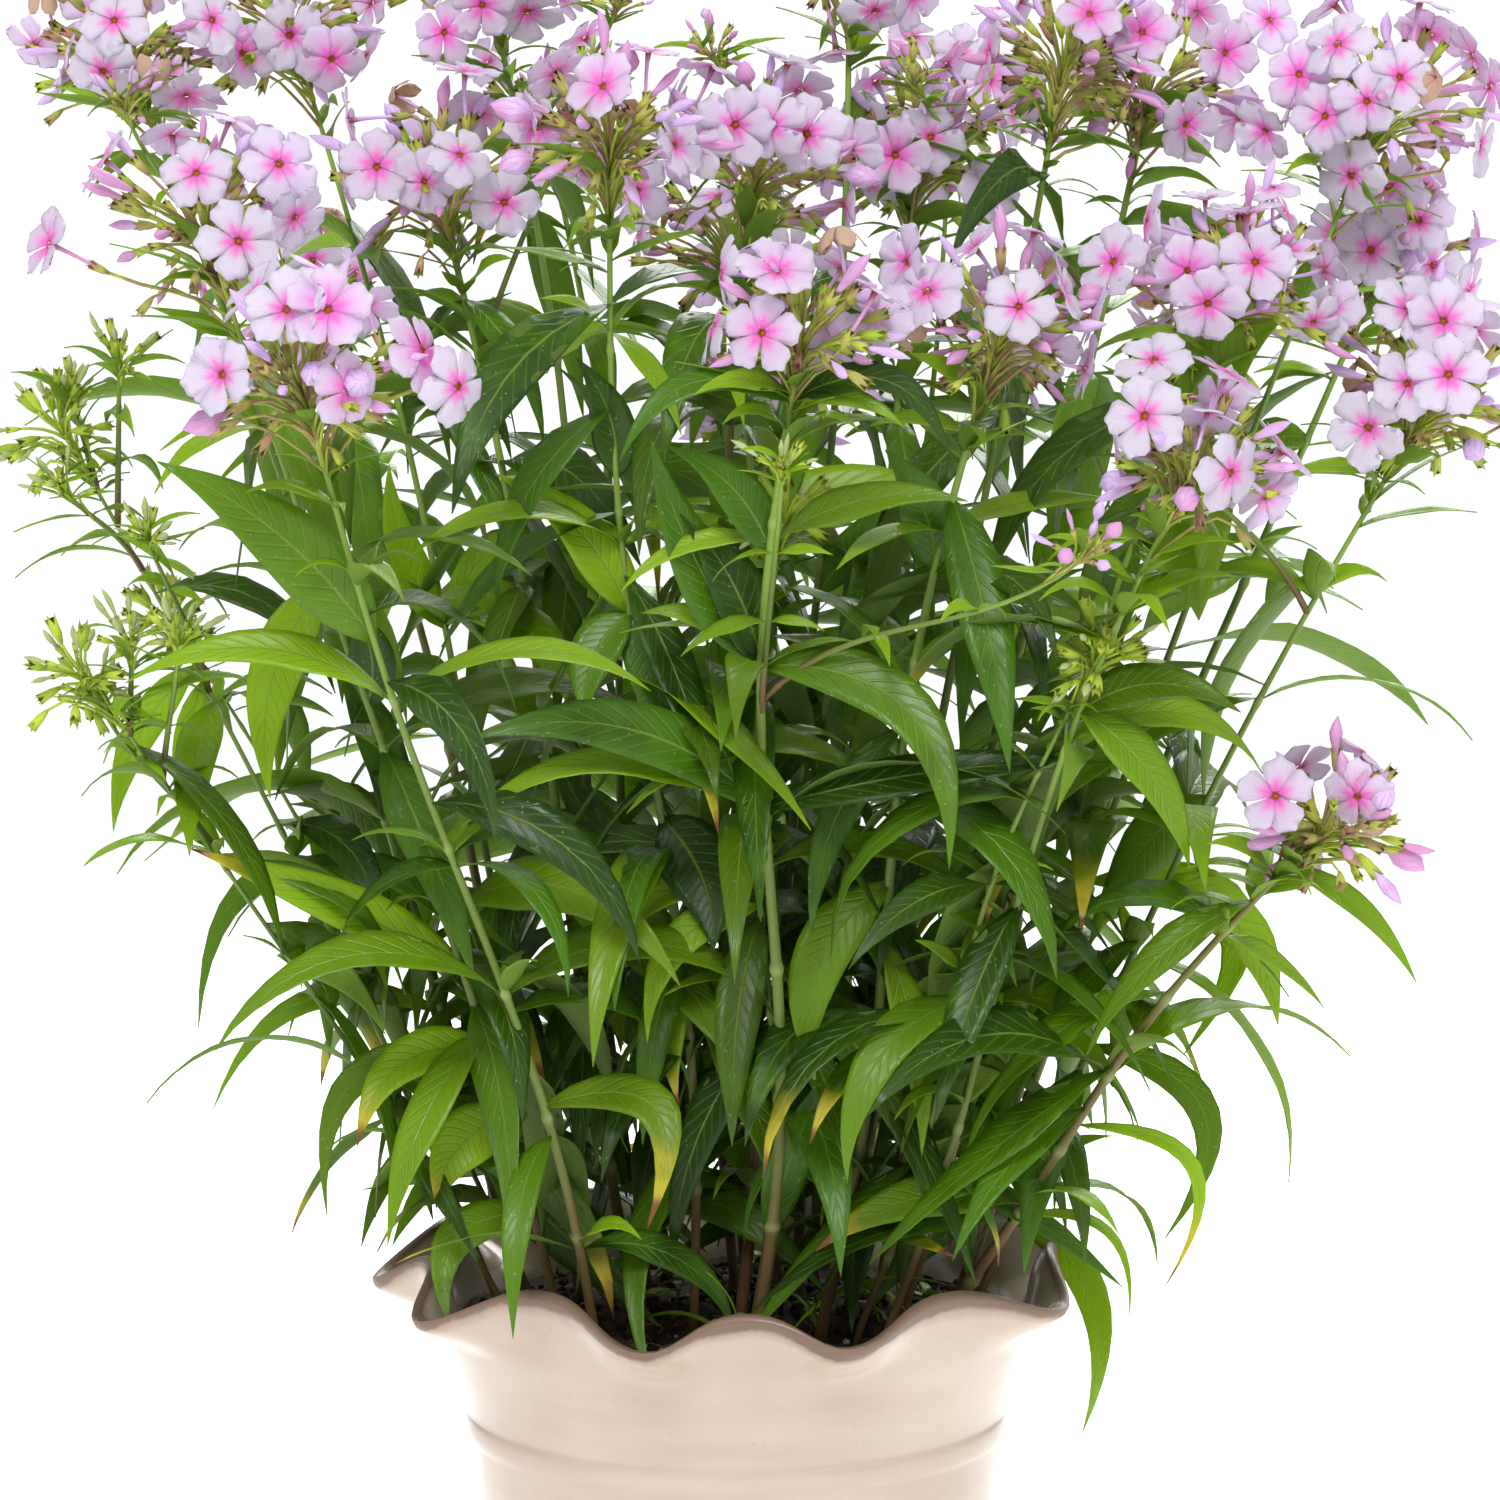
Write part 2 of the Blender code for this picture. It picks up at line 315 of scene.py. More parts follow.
petalColors = {
    "lilac": (0.790, 0.710, 0.860),
    "pink": (0.810, 0.520, 0.800),
    "pale": (0.790, 0.765, 0.855),
    "back": (0.800, 0.665, 0.850),
    "eye": (0.960, 0.190, 0.700),
    "heart": (0.600, 0.120, 0.050),
    "faded": (0.680, 0.470, 0.280),
    "letThrough": 0.50,
}


# Petals: pale towards the rim, and an eye that runs out as a ray along the middle of each
def makePetalMaterial():
    look = petalColors
    made, tree = newMaterial("phloxPetal")
    along, across, side = readMark(tree, "place")
    chance, fade, glow = readMark(tree, "nature")
    where = objectPlace(tree)
    patches = patchesAt(tree, where, 70.0, look["lilac"], look["pale"], Shift=minus(tree, chance, 0.42))
    color = tinted(tree, patches["Color"], easeBetween(tree, glow, 0.55, 1.0), 0.75, look["pink"])
    color = blendColors(tree, easeBetween(tree, along, 0.40, 1.05), color, look["pale"])
    lines = calc(tree, "SINE", times(tree, across, 23.0))
    lines = times(tree, easeBetween(tree, lines, 0.1, 1.0), 0.22)
    lines = times(tree, lines, minus(tree, 1.0, along))
    color = blendColors(tree, lines, color, look["eye"])
    away = calc(tree, "ABSOLUTE", across)
    ray = times(tree, calc(tree, "POWER", minus(tree, 1.0, away), 1.6), 0.17)
    edge = minus(tree, minus(tree, along, ray), times(tree, glow, 0.10))
    eye = minus(tree, 1.0, easeBetween(tree, edge, -0.06, 0.34))
    color = tinted(tree, color, eye, 0.90, look["eye"])
    heart = minus(tree, 1.0, easeBetween(tree, along, 0.00, 0.07))
    color = blendColors(tree, heart, color, look["heart"])
    color = tinted(tree, color, side, 0.60, look["back"])
    color = blendColors(tree, fade, color, look["faded"])
    fine = noiseAt(tree, where, 700.0, Detail=2.0)
    height = plus(tree, fine, times(tree, lines, 4.0))
    rough = plus(tree, 0.52, times(tree, fine, 0.15))
    bump = (height, 0.25, 0.0003)
    finishMaterial(tree, color, rough, 0.30, bump, color, look["letThrough"], {"Sheen Weight": 0.15})
    return made


budColors = {
    "stalkEnd": (0.560, 0.260, 0.430),
    "tube": (0.740, 0.370, 0.640),
    "bud": (0.760, 0.560, 0.880),
    "tip": (0.500, 0.300, 0.680),
    "green": (0.420, 0.560, 0.140),
    "throat": (0.480, 0.130, 0.030),
}


# Flower tubes and closed buds: twisted lines run round the bud
def makeBudMaterial():
    look = budColors
    made, tree = newMaterial("phloxBud")
    along, around, part = readMark(tree, "place")
    chance, green, _ = readMark(tree, "nature")
    where = objectPlace(tree)
    patches = patchesAt(tree, where, 160.0, look["tube"], look["bud"], Shift=minus(tree, chance, 0.5))
    color = blendColors(tree, easeBetween(tree, along, 0.30, 0.0), patches["Color"], look["stalkEnd"])
    coil = plus(tree, times(tree, around, 5.0), times(tree, along, 3.0))
    coil = calc(tree, "SINE", times(tree, coil, math.tau))
    crease = times(tree, easeBetween(tree, coil, 0.5, 1.0), easeBetween(tree, along, 0.45, 0.7))
    color = tinted(tree, color, crease, 0.5, look["tip"])
    color = tinted(tree, color, green, 0.85, look["green"])
    color = blendColors(tree, part, color, look["throat"])
    rough = plus(tree, 0.48, times(tree, chance, 0.14))
    finishMaterial(tree, color, rough, 0.35, (minus(tree, 1.0, crease), 0.4, 0.0003), color, 0.22)
    return made


sprayColors = {
    "green": (0.510, 0.640, 0.060),
    "leafy": (0.330, 0.470, 0.036),
    "ripe": (0.440, 0.180, 0.170),
    "tip": (0.460, 0.260, 0.110),
}


# Calyxes and the fine branches that carry them: green, ripening to purple brown
def makeSprayMaterial():
    look = sprayColors
    made, tree = newMaterial("phloxCalyx")
    along, around, part = readMark(tree, "place")
    chance, ripe, _ = readMark(tree, "nature")
    where = objectPlace(tree)
    patches = patchesAt(tree, where, 130.0, look["leafy"], look["green"], Shift=minus(tree, chance, 0.5))
    wander = noiseAt(tree, where, 240.0)
    blush = times(tree, ripe, easeBetween(tree, wander, 0.25, 0.6))
    color = blendColors(tree, blush, patches["Color"], look["ripe"])
    tips = times(tree, easeBetween(tree, along, 0.75, 1.0), 0.5)
    color = tinted(tree, color, tips, part, look["tip"])
    ribs = calc(tree, "SINE", times(tree, around, math.tau * 10.0))
    rough = plus(tree, 0.45, times(tree, wander, 0.2))
    finishMaterial(tree, color, rough, 0.35, (plus(tree, ribs, wander), 0.3, 0.0002), color, 0.15)
    return made


stemColors = {
    "foot": (0.200, 0.125, 0.050),
    "middle": (0.180, 0.270, 0.045),
    "top": (0.250, 0.410, 0.060),
    "red": (0.200, 0.080, 0.040),
    "joint": (0.290, 0.380, 0.110),
}


def makeStemMaterial():
    look = stemColors
    made, tree = newMaterial("phloxStem")
    along, around, joint = readMark(tree, "place")
    chance, redness, _ = readMark(tree, "nature")
    wander = noiseAt(tree, objectPlace(tree), 28.0, Detail=3.0)
    shifted = plus(tree, along, times(tree, minus(tree, wander, 0.5), 0.3))
    color = blendColors(tree, easeBetween(tree, shifted, 0.08, 0.38), look["foot"], look["middle"])
    color = blendColors(tree, easeBetween(tree, shifted, 0.50, 0.90), color, look["top"])
    color = tinted(tree, color, redness, 0.75, look["red"])
    streak = {0: times(tree, around, 9.0), 1: times(tree, along, 5.0), 2: chance}
    lines = noiseAt(tree, addNode(tree, "ShaderNodeCombineXYZ", streak).outputs[0], 3.0, Detail=4.0)
    color = blendColors(tree, times(tree, lines, 0.55), color, look["foot"], "MULTIPLY")
    color = tinted(tree, color, joint, 0.55, look["joint"])
    rough = plus(tree, 0.38, times(tree, lines, 0.25))
    finishMaterial(tree, color, rough, 0.4, (lines, 0.5, 0.0003))
    return made


glazeColors = {
    "cream": (0.475, 0.372, 0.295),
    "blush": (0.395, 0.290, 0.226),
    "pale": (0.550, 0.452, 0.368),
    "worn": (0.140, 0.080, 0.050),
    "wornLight": (0.300, 0.205, 0.148),
    "wornWidth": 6.2,  # millimetres of bare edge outside the lip, half as much inside it
}


def makeGlazeMaterial():
    look = glazeColors
    width = look["wornWidth"]
    made, tree = newMaterial("creamGlaze")
    _, edge, _ = readMark(tree, "place")
    where = objectPlace(tree)
    clouds = patchesAt(tree, where, 14.0, look["cream"], look["pale"], Detail=5.0)
    stretched = addNode(tree, "ShaderNodeMapping", {"Vector": where, "Scale": (1.0, 1.0, 7.0)}).outputs[0]
    black, white = (0.0, 0.0, 0.0), (1.0, 1.0, 1.0)
    bands = patchesAt(tree, stretched, 6.0, black, white, Detail=3.0, Shift=-0.06)
    color = tinted(tree, clouds["Color"], bands["Value"], 0.60, look["blush"])
    color = tinted(tree, color, specksAt(tree, where, 330.0, 0.16, 0.05), 0.30, look["wornLight"])
    ragged = noiseAt(tree, where, 75.0, Detail=6.0, Roughness=0.65)
    broad = noiseAt(tree, where, 18.0, Detail=2.0)
    wobble = times(tree, minus(tree, ragged, 0.5), 5.0)
    wobble = plus(tree, wobble, times(tree, minus(tree, broad, 0.5), 11.0))
    reach = plus(tree, edge, wobble)
    halo = minus(tree, 1.0, easeBetween(tree, reach, width * 0.8, width * 1.6))
    worn = minus(tree, 1.0, easeBetween(tree, reach, width * 0.70, width))
    color = tinted(tree, color, halo, 0.75, look["wornLight"])
    color = tinted(tree, color, worn, 0.85, look["worn"])
    rough = plus(tree, 0.15, times(tree, worn, 0.30))
    rough = plus(tree, rough, times(tree, clouds["Value"], 0.10))
    relief = plus(tree, noiseAt(tree, stretched, 26.0, Detail=2.0), times(tree, ragged, 0.25))
    coat = {"Coat Weight": 0.20, "Coat Roughness": 0.10}
    finishMaterial(tree, color, rough, 0.40, (relief, 0.18, 0.0010), more=coat)
    return made


compostColors = {
    "dark": (0.016, 0.008, 0.005),
    "brown": (0.075, 0.036, 0.018),
    "bark": (0.150, 0.075, 0.038),
    "fibre": (0.330, 0.210, 0.110),
    "perlite": (0.800, 0.780, 0.730),
}


def makeCompostMaterial(name, first, second, scale):
    made, tree = newMaterial(name)
    where = objectPlace(tree)
    patches = patchesAt(tree, where, scale, first, second, Detail=6.0)
    grains = noiseAt(tree, where, scale * 6, Detail=6.0, Roughness=0.7)
    color = tinted(tree, patches["Color"], grains, 0.6, first)
    rough = plus(tree, 0.72, times(tree, grains, 0.25))
    finishMaterial(tree, color, rough, 0.25, (grains, 0.8, 0.0015))
    return made


leafMaterial = makeLeafMaterial()
petalMaterial = makePetalMaterial()
budMaterial = makeBudMaterial()
sprayMaterial = makeSprayMaterial()
stemMaterial = makeStemMaterial()
glazeMaterial = makeGlazeMaterial()
soilMaterial = makeCompostMaterial("compost", compostColors["dark"], compostColors["brown"], 90.0)
barkMaterial = makeCompostMaterial("bark", compostColors["brown"], compostColors["bark"], 140.0)
fibreMaterial = makeCompostMaterial("fibre", compostColors["bark"], compostColors["fibre"], 120.0)
perliteMaterial = makeCompostMaterial("perlite", (0.55, 0.52, 0.46), compostColors["perlite"], 200.0)
print("materials made")


# Meshes are gathered part by part, then written as one piece
def newBatch():
    return {"points": [], "places": [], "natures": [], "quads": [], "triangles": [], "count": 0}


def addPart(batch, points, places, nature, quads, triangles=None):
    start = batch["count"]
    batch["points"].append(points)
    batch["places"].append(places)
    batch["natures"].append(np.tile(np.asarray(nature, float), (len(points), 1)))
    batch["quads"].append(np.asarray(quads) + start)
    if triangles is not None and len(triangles):
        batch["triangles"].append(np.asarray(triangles) + start)
    batch["count"] += len(points)


# Writes a batch as an object that rides on the part's body
def makePiece(name, batch, material, replaced=()):
    mesh = bpy.data.meshes.new(name)
    points = np.concatenate(batch["points"])
    quads = np.concatenate(batch["quads"])
    triangles = np.concatenate(batch["triangles"]) if batch["triangles"] else np.zeros((0, 3), int)
    corners = np.concatenate((quads.ravel(), triangles.ravel()))
    sizes = np.concatenate((np.full(len(quads), 4), np.full(len(triangles), 3)))
    mesh.vertices.add(len(points))
    mesh.vertices.foreach_set("co", points.astype(np.float32).ravel())
    mesh.loops.add(len(corners))
    mesh.loops.foreach_set("vertex_index", corners.astype(np.int32))
    mesh.polygons.add(len(sizes))
    mesh.polygons.foreach_set("loop_start", np.concatenate(([0], np.cumsum(sizes)[:-1])).astype(np.int32))
    mesh.update(calc_edges=True)
    mesh.validate()
    for label, rows in (("place", batch["places"]), ("nature", batch["natures"])):
        values = np.concatenate(rows).astype(np.float32)
        mesh.attributes.new(label, "FLOAT_VECTOR", "POINT").data.foreach_set("vector", values.ravel())
    mesh.shade_smooth()
    mesh.materials.append(material)
    piece = bpy.data.objects.new(name, mesh)
    bpy.context.scene.collection.objects.link(piece)
    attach(piece, "root")
    if replaced:
        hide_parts(*replaced)
    return piece


def unit(vector):
    return vector / max(np.linalg.norm(vector), 1e-9)


def fullTurn(steps):
    return np.arange(steps) * math.tau / steps


def directionsAlong(line):
    ahead = np.gradient(line, axis=0)
    return ahead / np.linalg.norm(ahead, axis=1)[:, None]


# Two cross directions at each point of a line, carried along it without twisting
def framesAlong(centres):
    ahead = directionsAlong(centres)
    side = np.cross(ahead[0], up)
    if np.linalg.norm(side) < 1e-6:
        side = np.array([1.0, 0.0, 0.0])
    sides = []
    for direction in ahead:
        side = unit(side - direction * side.dot(direction))
        sides.append(side)
    sides = np.array(sides)
    return sides, np.cross(ahead, sides)


tubeShapes = {}


# Side quads and end caps of a tube, kept for reuse
def tubeFaces(rings, sides):
    if (rings, sides) not in tubeShapes:
        quads = []
        for ring in range(rings - 1):
            for side in range(sides):
                beyond = (side + 1) % sides
                low, high = ring * sides, (ring + 1) * sides
                quads.append((low + side, low + beyond, high + beyond, high + side))
        last = (rings - 1) * sides
        caps = [(0, side + 1, side) for side in range(1, sides - 1)]
        caps += [(last, last + side, last + side + 1) for side in range(1, sides - 1)]
        tubeShapes[rings, sides] = np.array(quads), np.array(caps)
    return tubeShapes[rings, sides]


# Tube along a line; place holds the share along, the share around and a mark for each ring
def addTube(batch, centres, radii, nature, sides=6, part=None, along=None):
    centres = np.asarray(centres, float)
    rings = len(centres)
    across, over = framesAlong(centres)
    turn = fullTurn(sides)
    spokes = across[:, None] * np.cos(turn)[None, :, None] + over[:, None] * np.sin(turn)[None, :, None]
    points = centres[:, None] + spokes * np.broadcast_to(radii, (rings,))[:, None, None]
    places = np.zeros((rings, sides, 3))
    places[:, :, 0] = (np.linspace(0, 1, rings) if along is None else along)[:, None]
    places[:, :, 1] = np.minimum(np.arange(sides), sides - np.arange(sides)) / sides * 2
    places[:, :, 2] = 0.0 if part is None else np.asarray(part, float)[:, None]
    quads, caps = tubeFaces(rings, sides)
    addPart(batch, points.reshape(-1, 3), places.reshape(-1, 3), nature, quads, caps)


bladeShapes = {}


# Top, underside and rim of a thin blade on a grid, kept for reuse
def bladeFaces(rows, columns):
    if (rows, columns) not in bladeShapes:
        under = rows * columns
        quads = []
        for row in range(rows - 1):
            for column in range(columns - 1):
                corner = row * columns + column
                top = (corner, corner + columns, corner + columns + 1, corner + 1)
                quads.append(top)
                quads.append(tuple(under + index for index in reversed(top)))
            for column, flip in ((0, False), (columns - 1, True)):
                corner = row * columns + column
                rim = (corner, corner + under, corner + columns + under, corner + columns)
                quads.append(rim[::-1] if flip else rim)
        for row, flip in ((0, True), (rows - 1, False)):
            for column in range(columns - 1):
                corner = row * columns + column
                rim = (corner, corner + under, corner + 1 + under, corner + 1)
                quads.append(rim[::-1] if flip else rim)
        bladeShapes[rows, columns] = np.array(quads)
    return bladeShapes[rows, columns]


# Closed thin blade from a grid of points; thickness thins to nothing at its rim
def addBlade(batch, surface, normals, thickness, along, across, nature):
    rows, columns = surface.shape[:2]
    half = normals * (thickness / 2 * (1 - 0.75 * np.abs(across) ** 3))[:, :, None]
    points = np.concatenate(((surface + half).reshape(-1, 3), (surface - half).reshape(-1, 3)))
    grid = np.stack((along, across, np.zeros_like(along)), axis=2).reshape(-1, 3)
    places = np.concatenate((grid, grid + (0.0, 0.0, 1.0)))
    addPart(batch, points, places, nature, bladeFaces(rows, columns))


potShape = {
    "steps": 180,
    # headings of the lobes in degrees: the lip was waved by hand, so they stand unevenly
    "lobeHeadings": (-179, -148, -103, -73, -27, 15, 57, 100, 141, 181),
    "lobeOut": 0.007,
    "lobeDrop": 0.0055,
    "ruffleFrom": 0.176,
    "lipHeight": 0.198,
    "outside": (
        (0.0740, 0.0), (0.0765, 0.003), (0.0845, 0.070), (0.0918, 0.1360), (0.0945, 0.1405),
        (0.0945, 0.1450), (0.0930, 0.1485), (0.0985, 0.165), (0.1050, 0.180), (0.1140, 0.191),
        (0.1175, 0.1965), (0.1165, 0.1995),
    ),
    "inside": (
        (0.1125, 0.1990), (0.1050, 0.189), (0.0965, 0.176), (0.0900, 0.155), (0.0810, 0.090), (0.0700, 0.012),
    ),
}


# Corner cutting: each pass swaps a corner for two points nearer together
def rounded(points, times=3):
    points = np.asarray(points, float)
    for _ in range(times):
        first = points[:-1] * 0.75 + points[1:] * 0.25
        second = points[:-1] * 0.25 + points[1:] * 0.75
        cut = np.empty((2 * len(first), 2))
        cut[0::2], cut[1::2] = first, second
        points = np.concatenate((points[:1], cut, points[-1:]))
    return points


# Wave of the lip: lobes lean out and down, the crests between them stand in and up
def ruffle(radius, height, turn):
    look = potShape
    share = np.clip((height - look["ruffleFrom"]) / (look["lipHeight"] - look["ruffleFrom"]), 0, 1.06)
    share = share * share * (3 - 2 * np.minimum(share, 1.0))
    headings = look["lobeHeadings"]
    degrees = np.degrees(turn)
    degrees = np.where(degrees > headings[-1], degrees - 360, degrees)
    phase = np.interp(degrees, headings, np.arange(len(headings))) * math.tau
    uneven = 1 + 0.18 * np.sin(2 * turn + 0.7) + 0.12 * np.sin(5 * turn)
    wave = (np.cos(phase) + 0.14 * np.cos(2 * phase)) * uneven
    return radius + look["lobeOut"] * wave * share, height - look["lobeDrop"] * wave * share


def makePot():
    look = potShape
    outline = rounded(look["outside"] + look["inside"])
    outline = outline[outline[:, 0] > 0.001]
    rings = len(outline)
    turn = fullTurn(look["steps"])
    radius = outline[:, 0][:, None] * np.ones(look["steps"])
    height = outline[:, 1][:, None] * np.ones(look["steps"])
    radius, height = ruffle(radius, height, turn[None, :])
    hand = 0.00035 * np.sin(3 * turn + 1.0)[None, :] * np.minimum(outline[:, 1] / 0.1, 1.0)[:, None]
    radius = radius + hand
    points = np.stack((radius * np.cos(turn), radius * np.sin(turn), height), axis=2)
    steps = np.linalg.norm(np.diff(outline, axis=0), axis=1)
    travelled = np.concatenate(([0], np.cumsum(steps)))
    lip = travelled[np.argmax(outline[:, 1])]
    places = np.zeros((rings, look["steps"], 3))
    places[:, :, 0] = turn / math.tau
    inner = np.where(travelled > lip, 2.0, 1.0)
    places[:, :, 1] = (np.abs(travelled - lip) * inner)[:, None] * 1000
    places[:, :, 2] = outline[:, 1][:, None]
    quads, caps = tubeFaces(rings, look["steps"])
    batch = newBatch()
    addPart(batch, points.reshape(-1, 3), places.reshape(-1, 3), (0.5, 0.0, 0.0), quads, caps)
    makePiece("pottedBase", batch, glazeMaterial, ("pot",))


makePot()
print("pot made")


# Compost: a lumpy top in the pot, with loose crumbs, bark, fibres and perlite on it
soilShape = {
    "height": 0.176,
    "radius": 0.0962,
    "rings": 40,
    "steps": 120,
    "lumps": 0.0034,
    "crumbs": 600,
    "bark": 90,
    "perlite": 46,
    "fibres": 70,
    "seed": 11,
}
potWall = ((0.0700, 0.0123), (0.0807, 0.090), (0.0897, 0.155), (0.0962, 0.176))
# ring in which nothing may hang lower than the lip: inner radius, outer radius, height of the lip
lipRing = (0.088, 0.130, 0.209)


# Whether a line of points runs through the pot's wall or the compost
def meetsPot(line):
    inner, outer, lip = lipRing
    radius = np.hypot(line[:, 0], line[:, 1])
    inWall = (radius > inner) & (radius < outer) & (line[:, 2] < lip)
    inCompost = (radius < inner + 0.006) & (line[:, 2] < soilShape["height"] + 0.002)
    return bool(np.any(inWall | inCompost))


def soilHeight(x, y):
    lumps = noise.noise(Vector((x * 55, y * 55, 0.3))) + 0.5 * noise.noise(Vector((x * 140, y * 140, 2.0)))
    return soilShape["height"] + soilShape["lumps"] * lumps + 0.0006


def makeSoil():
    look = soilShape
    turn = fullTurn(look["steps"])
    circle = np.stack((np.cos(turn), np.sin(turn)), axis=1)
    rings = [
        np.column_stack((circle * radius, np.full(look["steps"], height))) for radius, height in potWall[:-1]
    ]
    for share in np.linspace(1, 0.012, look["rings"]):
        flat = circle * look["radius"] * share
        heights = [soilHeight(x, y) for x, y in flat]
        rings.append(np.column_stack((flat, heights)))
    points = np.array(rings)
    quads, caps = tubeFaces(len(rings), look["steps"])
    batch = newBatch()
    addPart(batch, points.reshape(-1, 3), np.zeros((points.size // 3, 3)), (0.5, 0.0, 0.0), quads, caps)
    makePiece("compostTop", batch, soilMaterial, ("soil",))


# One irregular grain: a closed rounded lump
def lumpShape(rng, rings=4, sides=6):
    angles = np.linspace(0.12, math.pi - 0.12, rings)
    turn = fullTurn(sides)
    size = rng.uniform(0.72, 1.2, (rings, sides))
    grid = np.stack(
        (np.sin(angles)[:, None] * np.cos(turn) * size, np.sin(angles)[:, None] * np.sin(turn) * size,
         -np.cos(angles)[:, None] * np.ones(sides) * size.mean()), axis=2)
    return grid.reshape(-1, 3), *tubeFaces(rings, sides)


# Random rotation matrix
def turned(rng):
    first = unit(rng.normal(size=3))
    second = unit(np.cross(first, rng.normal(size=3)))
    return np.array([first, second, np.cross(first, second)])


def scatterGrains(name, count, sizes, squash, material, seed):
    look = soilShape
    rng = np.random.default_rng(seed)
    batch = newBatch()
    for _ in range(count):
        points, quads, caps = lumpShape(rng)
        size = rng.uniform(*sizes)
        spin = turned(rng)
        points = points * (1.0, rng.uniform(*squash), rng.uniform(*squash)) * size
        radius = look["radius"] * math.sqrt(rng.uniform(0, 0.93))
        heading = rng.uniform(0, math.tau)
        x, y = radius * math.cos(heading), radius * math.sin(heading)
        points = points @ spin + (x, y, soilHeight(x, y) + size * 0.25)
        addPart(batch, points, np.zeros((len(points), 3)), (rng.uniform(), 0, 0), quads, caps)
    return makePiece(name, batch, material)


def makeFibres():
    look = soilShape
    rng = np.random.default_rng(look["seed"] + 5)
    batch = newBatch()
    for _ in range(look["fibres"]):
        radius = look["radius"] * math.sqrt(rng.uniform(0, 0.85))
        heading = rng.uniform(0, math.tau)
        middle = np.array([radius * math.cos(heading), radius * math.sin(heading), 0.0])
        course = rng.uniform(0, math.tau)
        length = rng.uniform(0.006, 0.020)
        share = np.linspace(-0.5, 0.5, 7)
        bend = course + share * rng.uniform(-1.6, 1.6)
        flat = (np.cos(bend) * share * length, np.sin(bend) * share * length, np.zeros(7))
        line = middle + np.stack(flat, axis=1)
        line[:, 2] = [soilHeight(x, y) + 0.0006 for x, y, _ in line]
        line[:, 2] += rng.uniform(0, 0.0018) * (0.25 - share * share) * 4
        addTube(batch, line, rng.uniform(0.00018, 0.00040), (rng.uniform(), 0, 0), sides=4)
    makePiece("soilFibres", batch, fibreMaterial)


makeSoil()
for index, (name, kind, sizes, squash, material) in enumerate((
    ("soilCrumbs", "crumbs", (0.0008, 0.0030), (0.6, 1.0), soilMaterial),
    ("barkChips", "bark", (0.0016, 0.0040), (0.25, 0.6), barkMaterial),
    ("perliteGrains", "perlite", (0.0006, 0.0016), (0.7, 1.0), perliteMaterial),
)):
    scatterGrains(name, soilShape[kind], sizes, squash, material, soilShape["seed"] + index)
makeFibres()
print("compost made")


stemShape = {
    "foot": 0.1763,
    "footShare": 0.36,
    "bow": 0.006,
    "earlySpread": 0.82,
    "footRadius": 0.0023,
    "topRadius": 0.0012,
    "sunk": 0.004,  # how far the foot goes into the loose top of the compost
    "rings": 36,
    "sides": 9,
    "jointSwell": 0.38,
    "jointHeight": 0.0018,
    "girths": (0.66, 0.98),  # thinnest and thickest stem, as shares of the model's
}
modelStems = (
    ((-0.199, 0.020, 0.588), 0.036, 10, (2, 4)),
    ((-0.163, -0.085, 0.530), 0.035, 145, (2, 4)),
    ((-0.128, -0.150, 0.484), 0.034, 0, (2, 4)),
    ((-0.097, 0.035, 0.542), 0.036, 100, (4,)),
    ((-0.085, 0.115, 0.620), 0.037, 60, (2, 4)),
    ((0.004, -0.035, 0.546), 0.037, 0, (2, 3, 4)),
    ((0.018, -0.140, 0.500), 0.031, 90, (3,)),
    ((0.078, -0.100, 0.496), 0.034, 130, (4,)),
    ((0.039, 0.030, 0.626), 0.037, 70, (4,)),
    ((0.140, 0.065, 0.576), 0.037, 150, (2, 4)),
    ((0.207, -0.010, 0.568), 0.038, 100, (2, 4)),
    ((0.152, -0.080, 0.510), 0.035, 5, (2, 4)),
    ((0.214, -0.075, 0.476), 0.034, 180, (3,)),
    ((0.176, -0.125, 0.352), 0.026, 120, (3,)),
    ((-0.065, 0.165, 0.562), 0.036, 0, (3,)),
    ((0.078, 0.160, 0.570), 0.037, 50, (2, 4)),
)
frontStem = 7  # the thickest, seen from foot to head
bareFoot = 0.15  # share of stems that still carry their lowest leaves
innerLeaves = {
    "lowShares": (0.14, 0.22),  # only on the stems of the far half
    "shares": (0.30, 0.39, 0.48, 0.57, 0.66, 0.75, 0.84, 0.93),
    "length": (0.070, 0.105),
    "width": (0.15, 0.21),
    "reach": 0.120,  # none comes farther out than this at the foot, and this much more at the top
    "widening": 0.070,
}
# Further stems: top, head radius, first heading, kind of head
moreStems = (
    ((-0.150, 0.075, 0.600), 0.036, 35, "bloom"),
    ((0.060, 0.045, 0.548), 0.034, 120, "bloom"),
    ((0.215, 0.030, 0.520), 0.034, 65, "bloom"),
    ((0.135, -0.140, 0.462), 0.028, 20, "bloom"),
    ((-0.218, -0.030, 0.474), 0.021, 80, "green"),
    ((-0.206, -0.070, 0.398), 0.020, 20, "green"),
    ((-0.188, 0.020, 0.408), 0.018, 130, "green"),
    ((0.015, -0.085, 0.452), 0.016, 95, "green"),
    ((0.110, -0.120, 0.408), 0.017, 40, "green"),
    ((-0.150, 0.135, 0.500), 0.035, 75, "sparse"),
    ((0.165, 0.125, 0.500), 0.035, 25, "bloom"),
    ((0.000, 0.120, 0.520), 0.036, 105, "sparse"),
    ((-0.040, -0.085, 0.560), 0.030, 50, "sparse"),
    ((0.010, 0.160, 0.460), 0.030, 0, "sparse"),
    ((0.108, 0.020, 0.585), 0.032, 85, "sparse"),
)
leafNodes = (
    (0.14, 0.078, 35, -75),
    (0.28, 0.096, 38, -68),
    (0.42, 0.106, 40, -55),
    (0.58, 0.106, 42, -42),
    (0.74, 0.090, 40, -30),
    (0.88, 0.064, 38, -20),
)


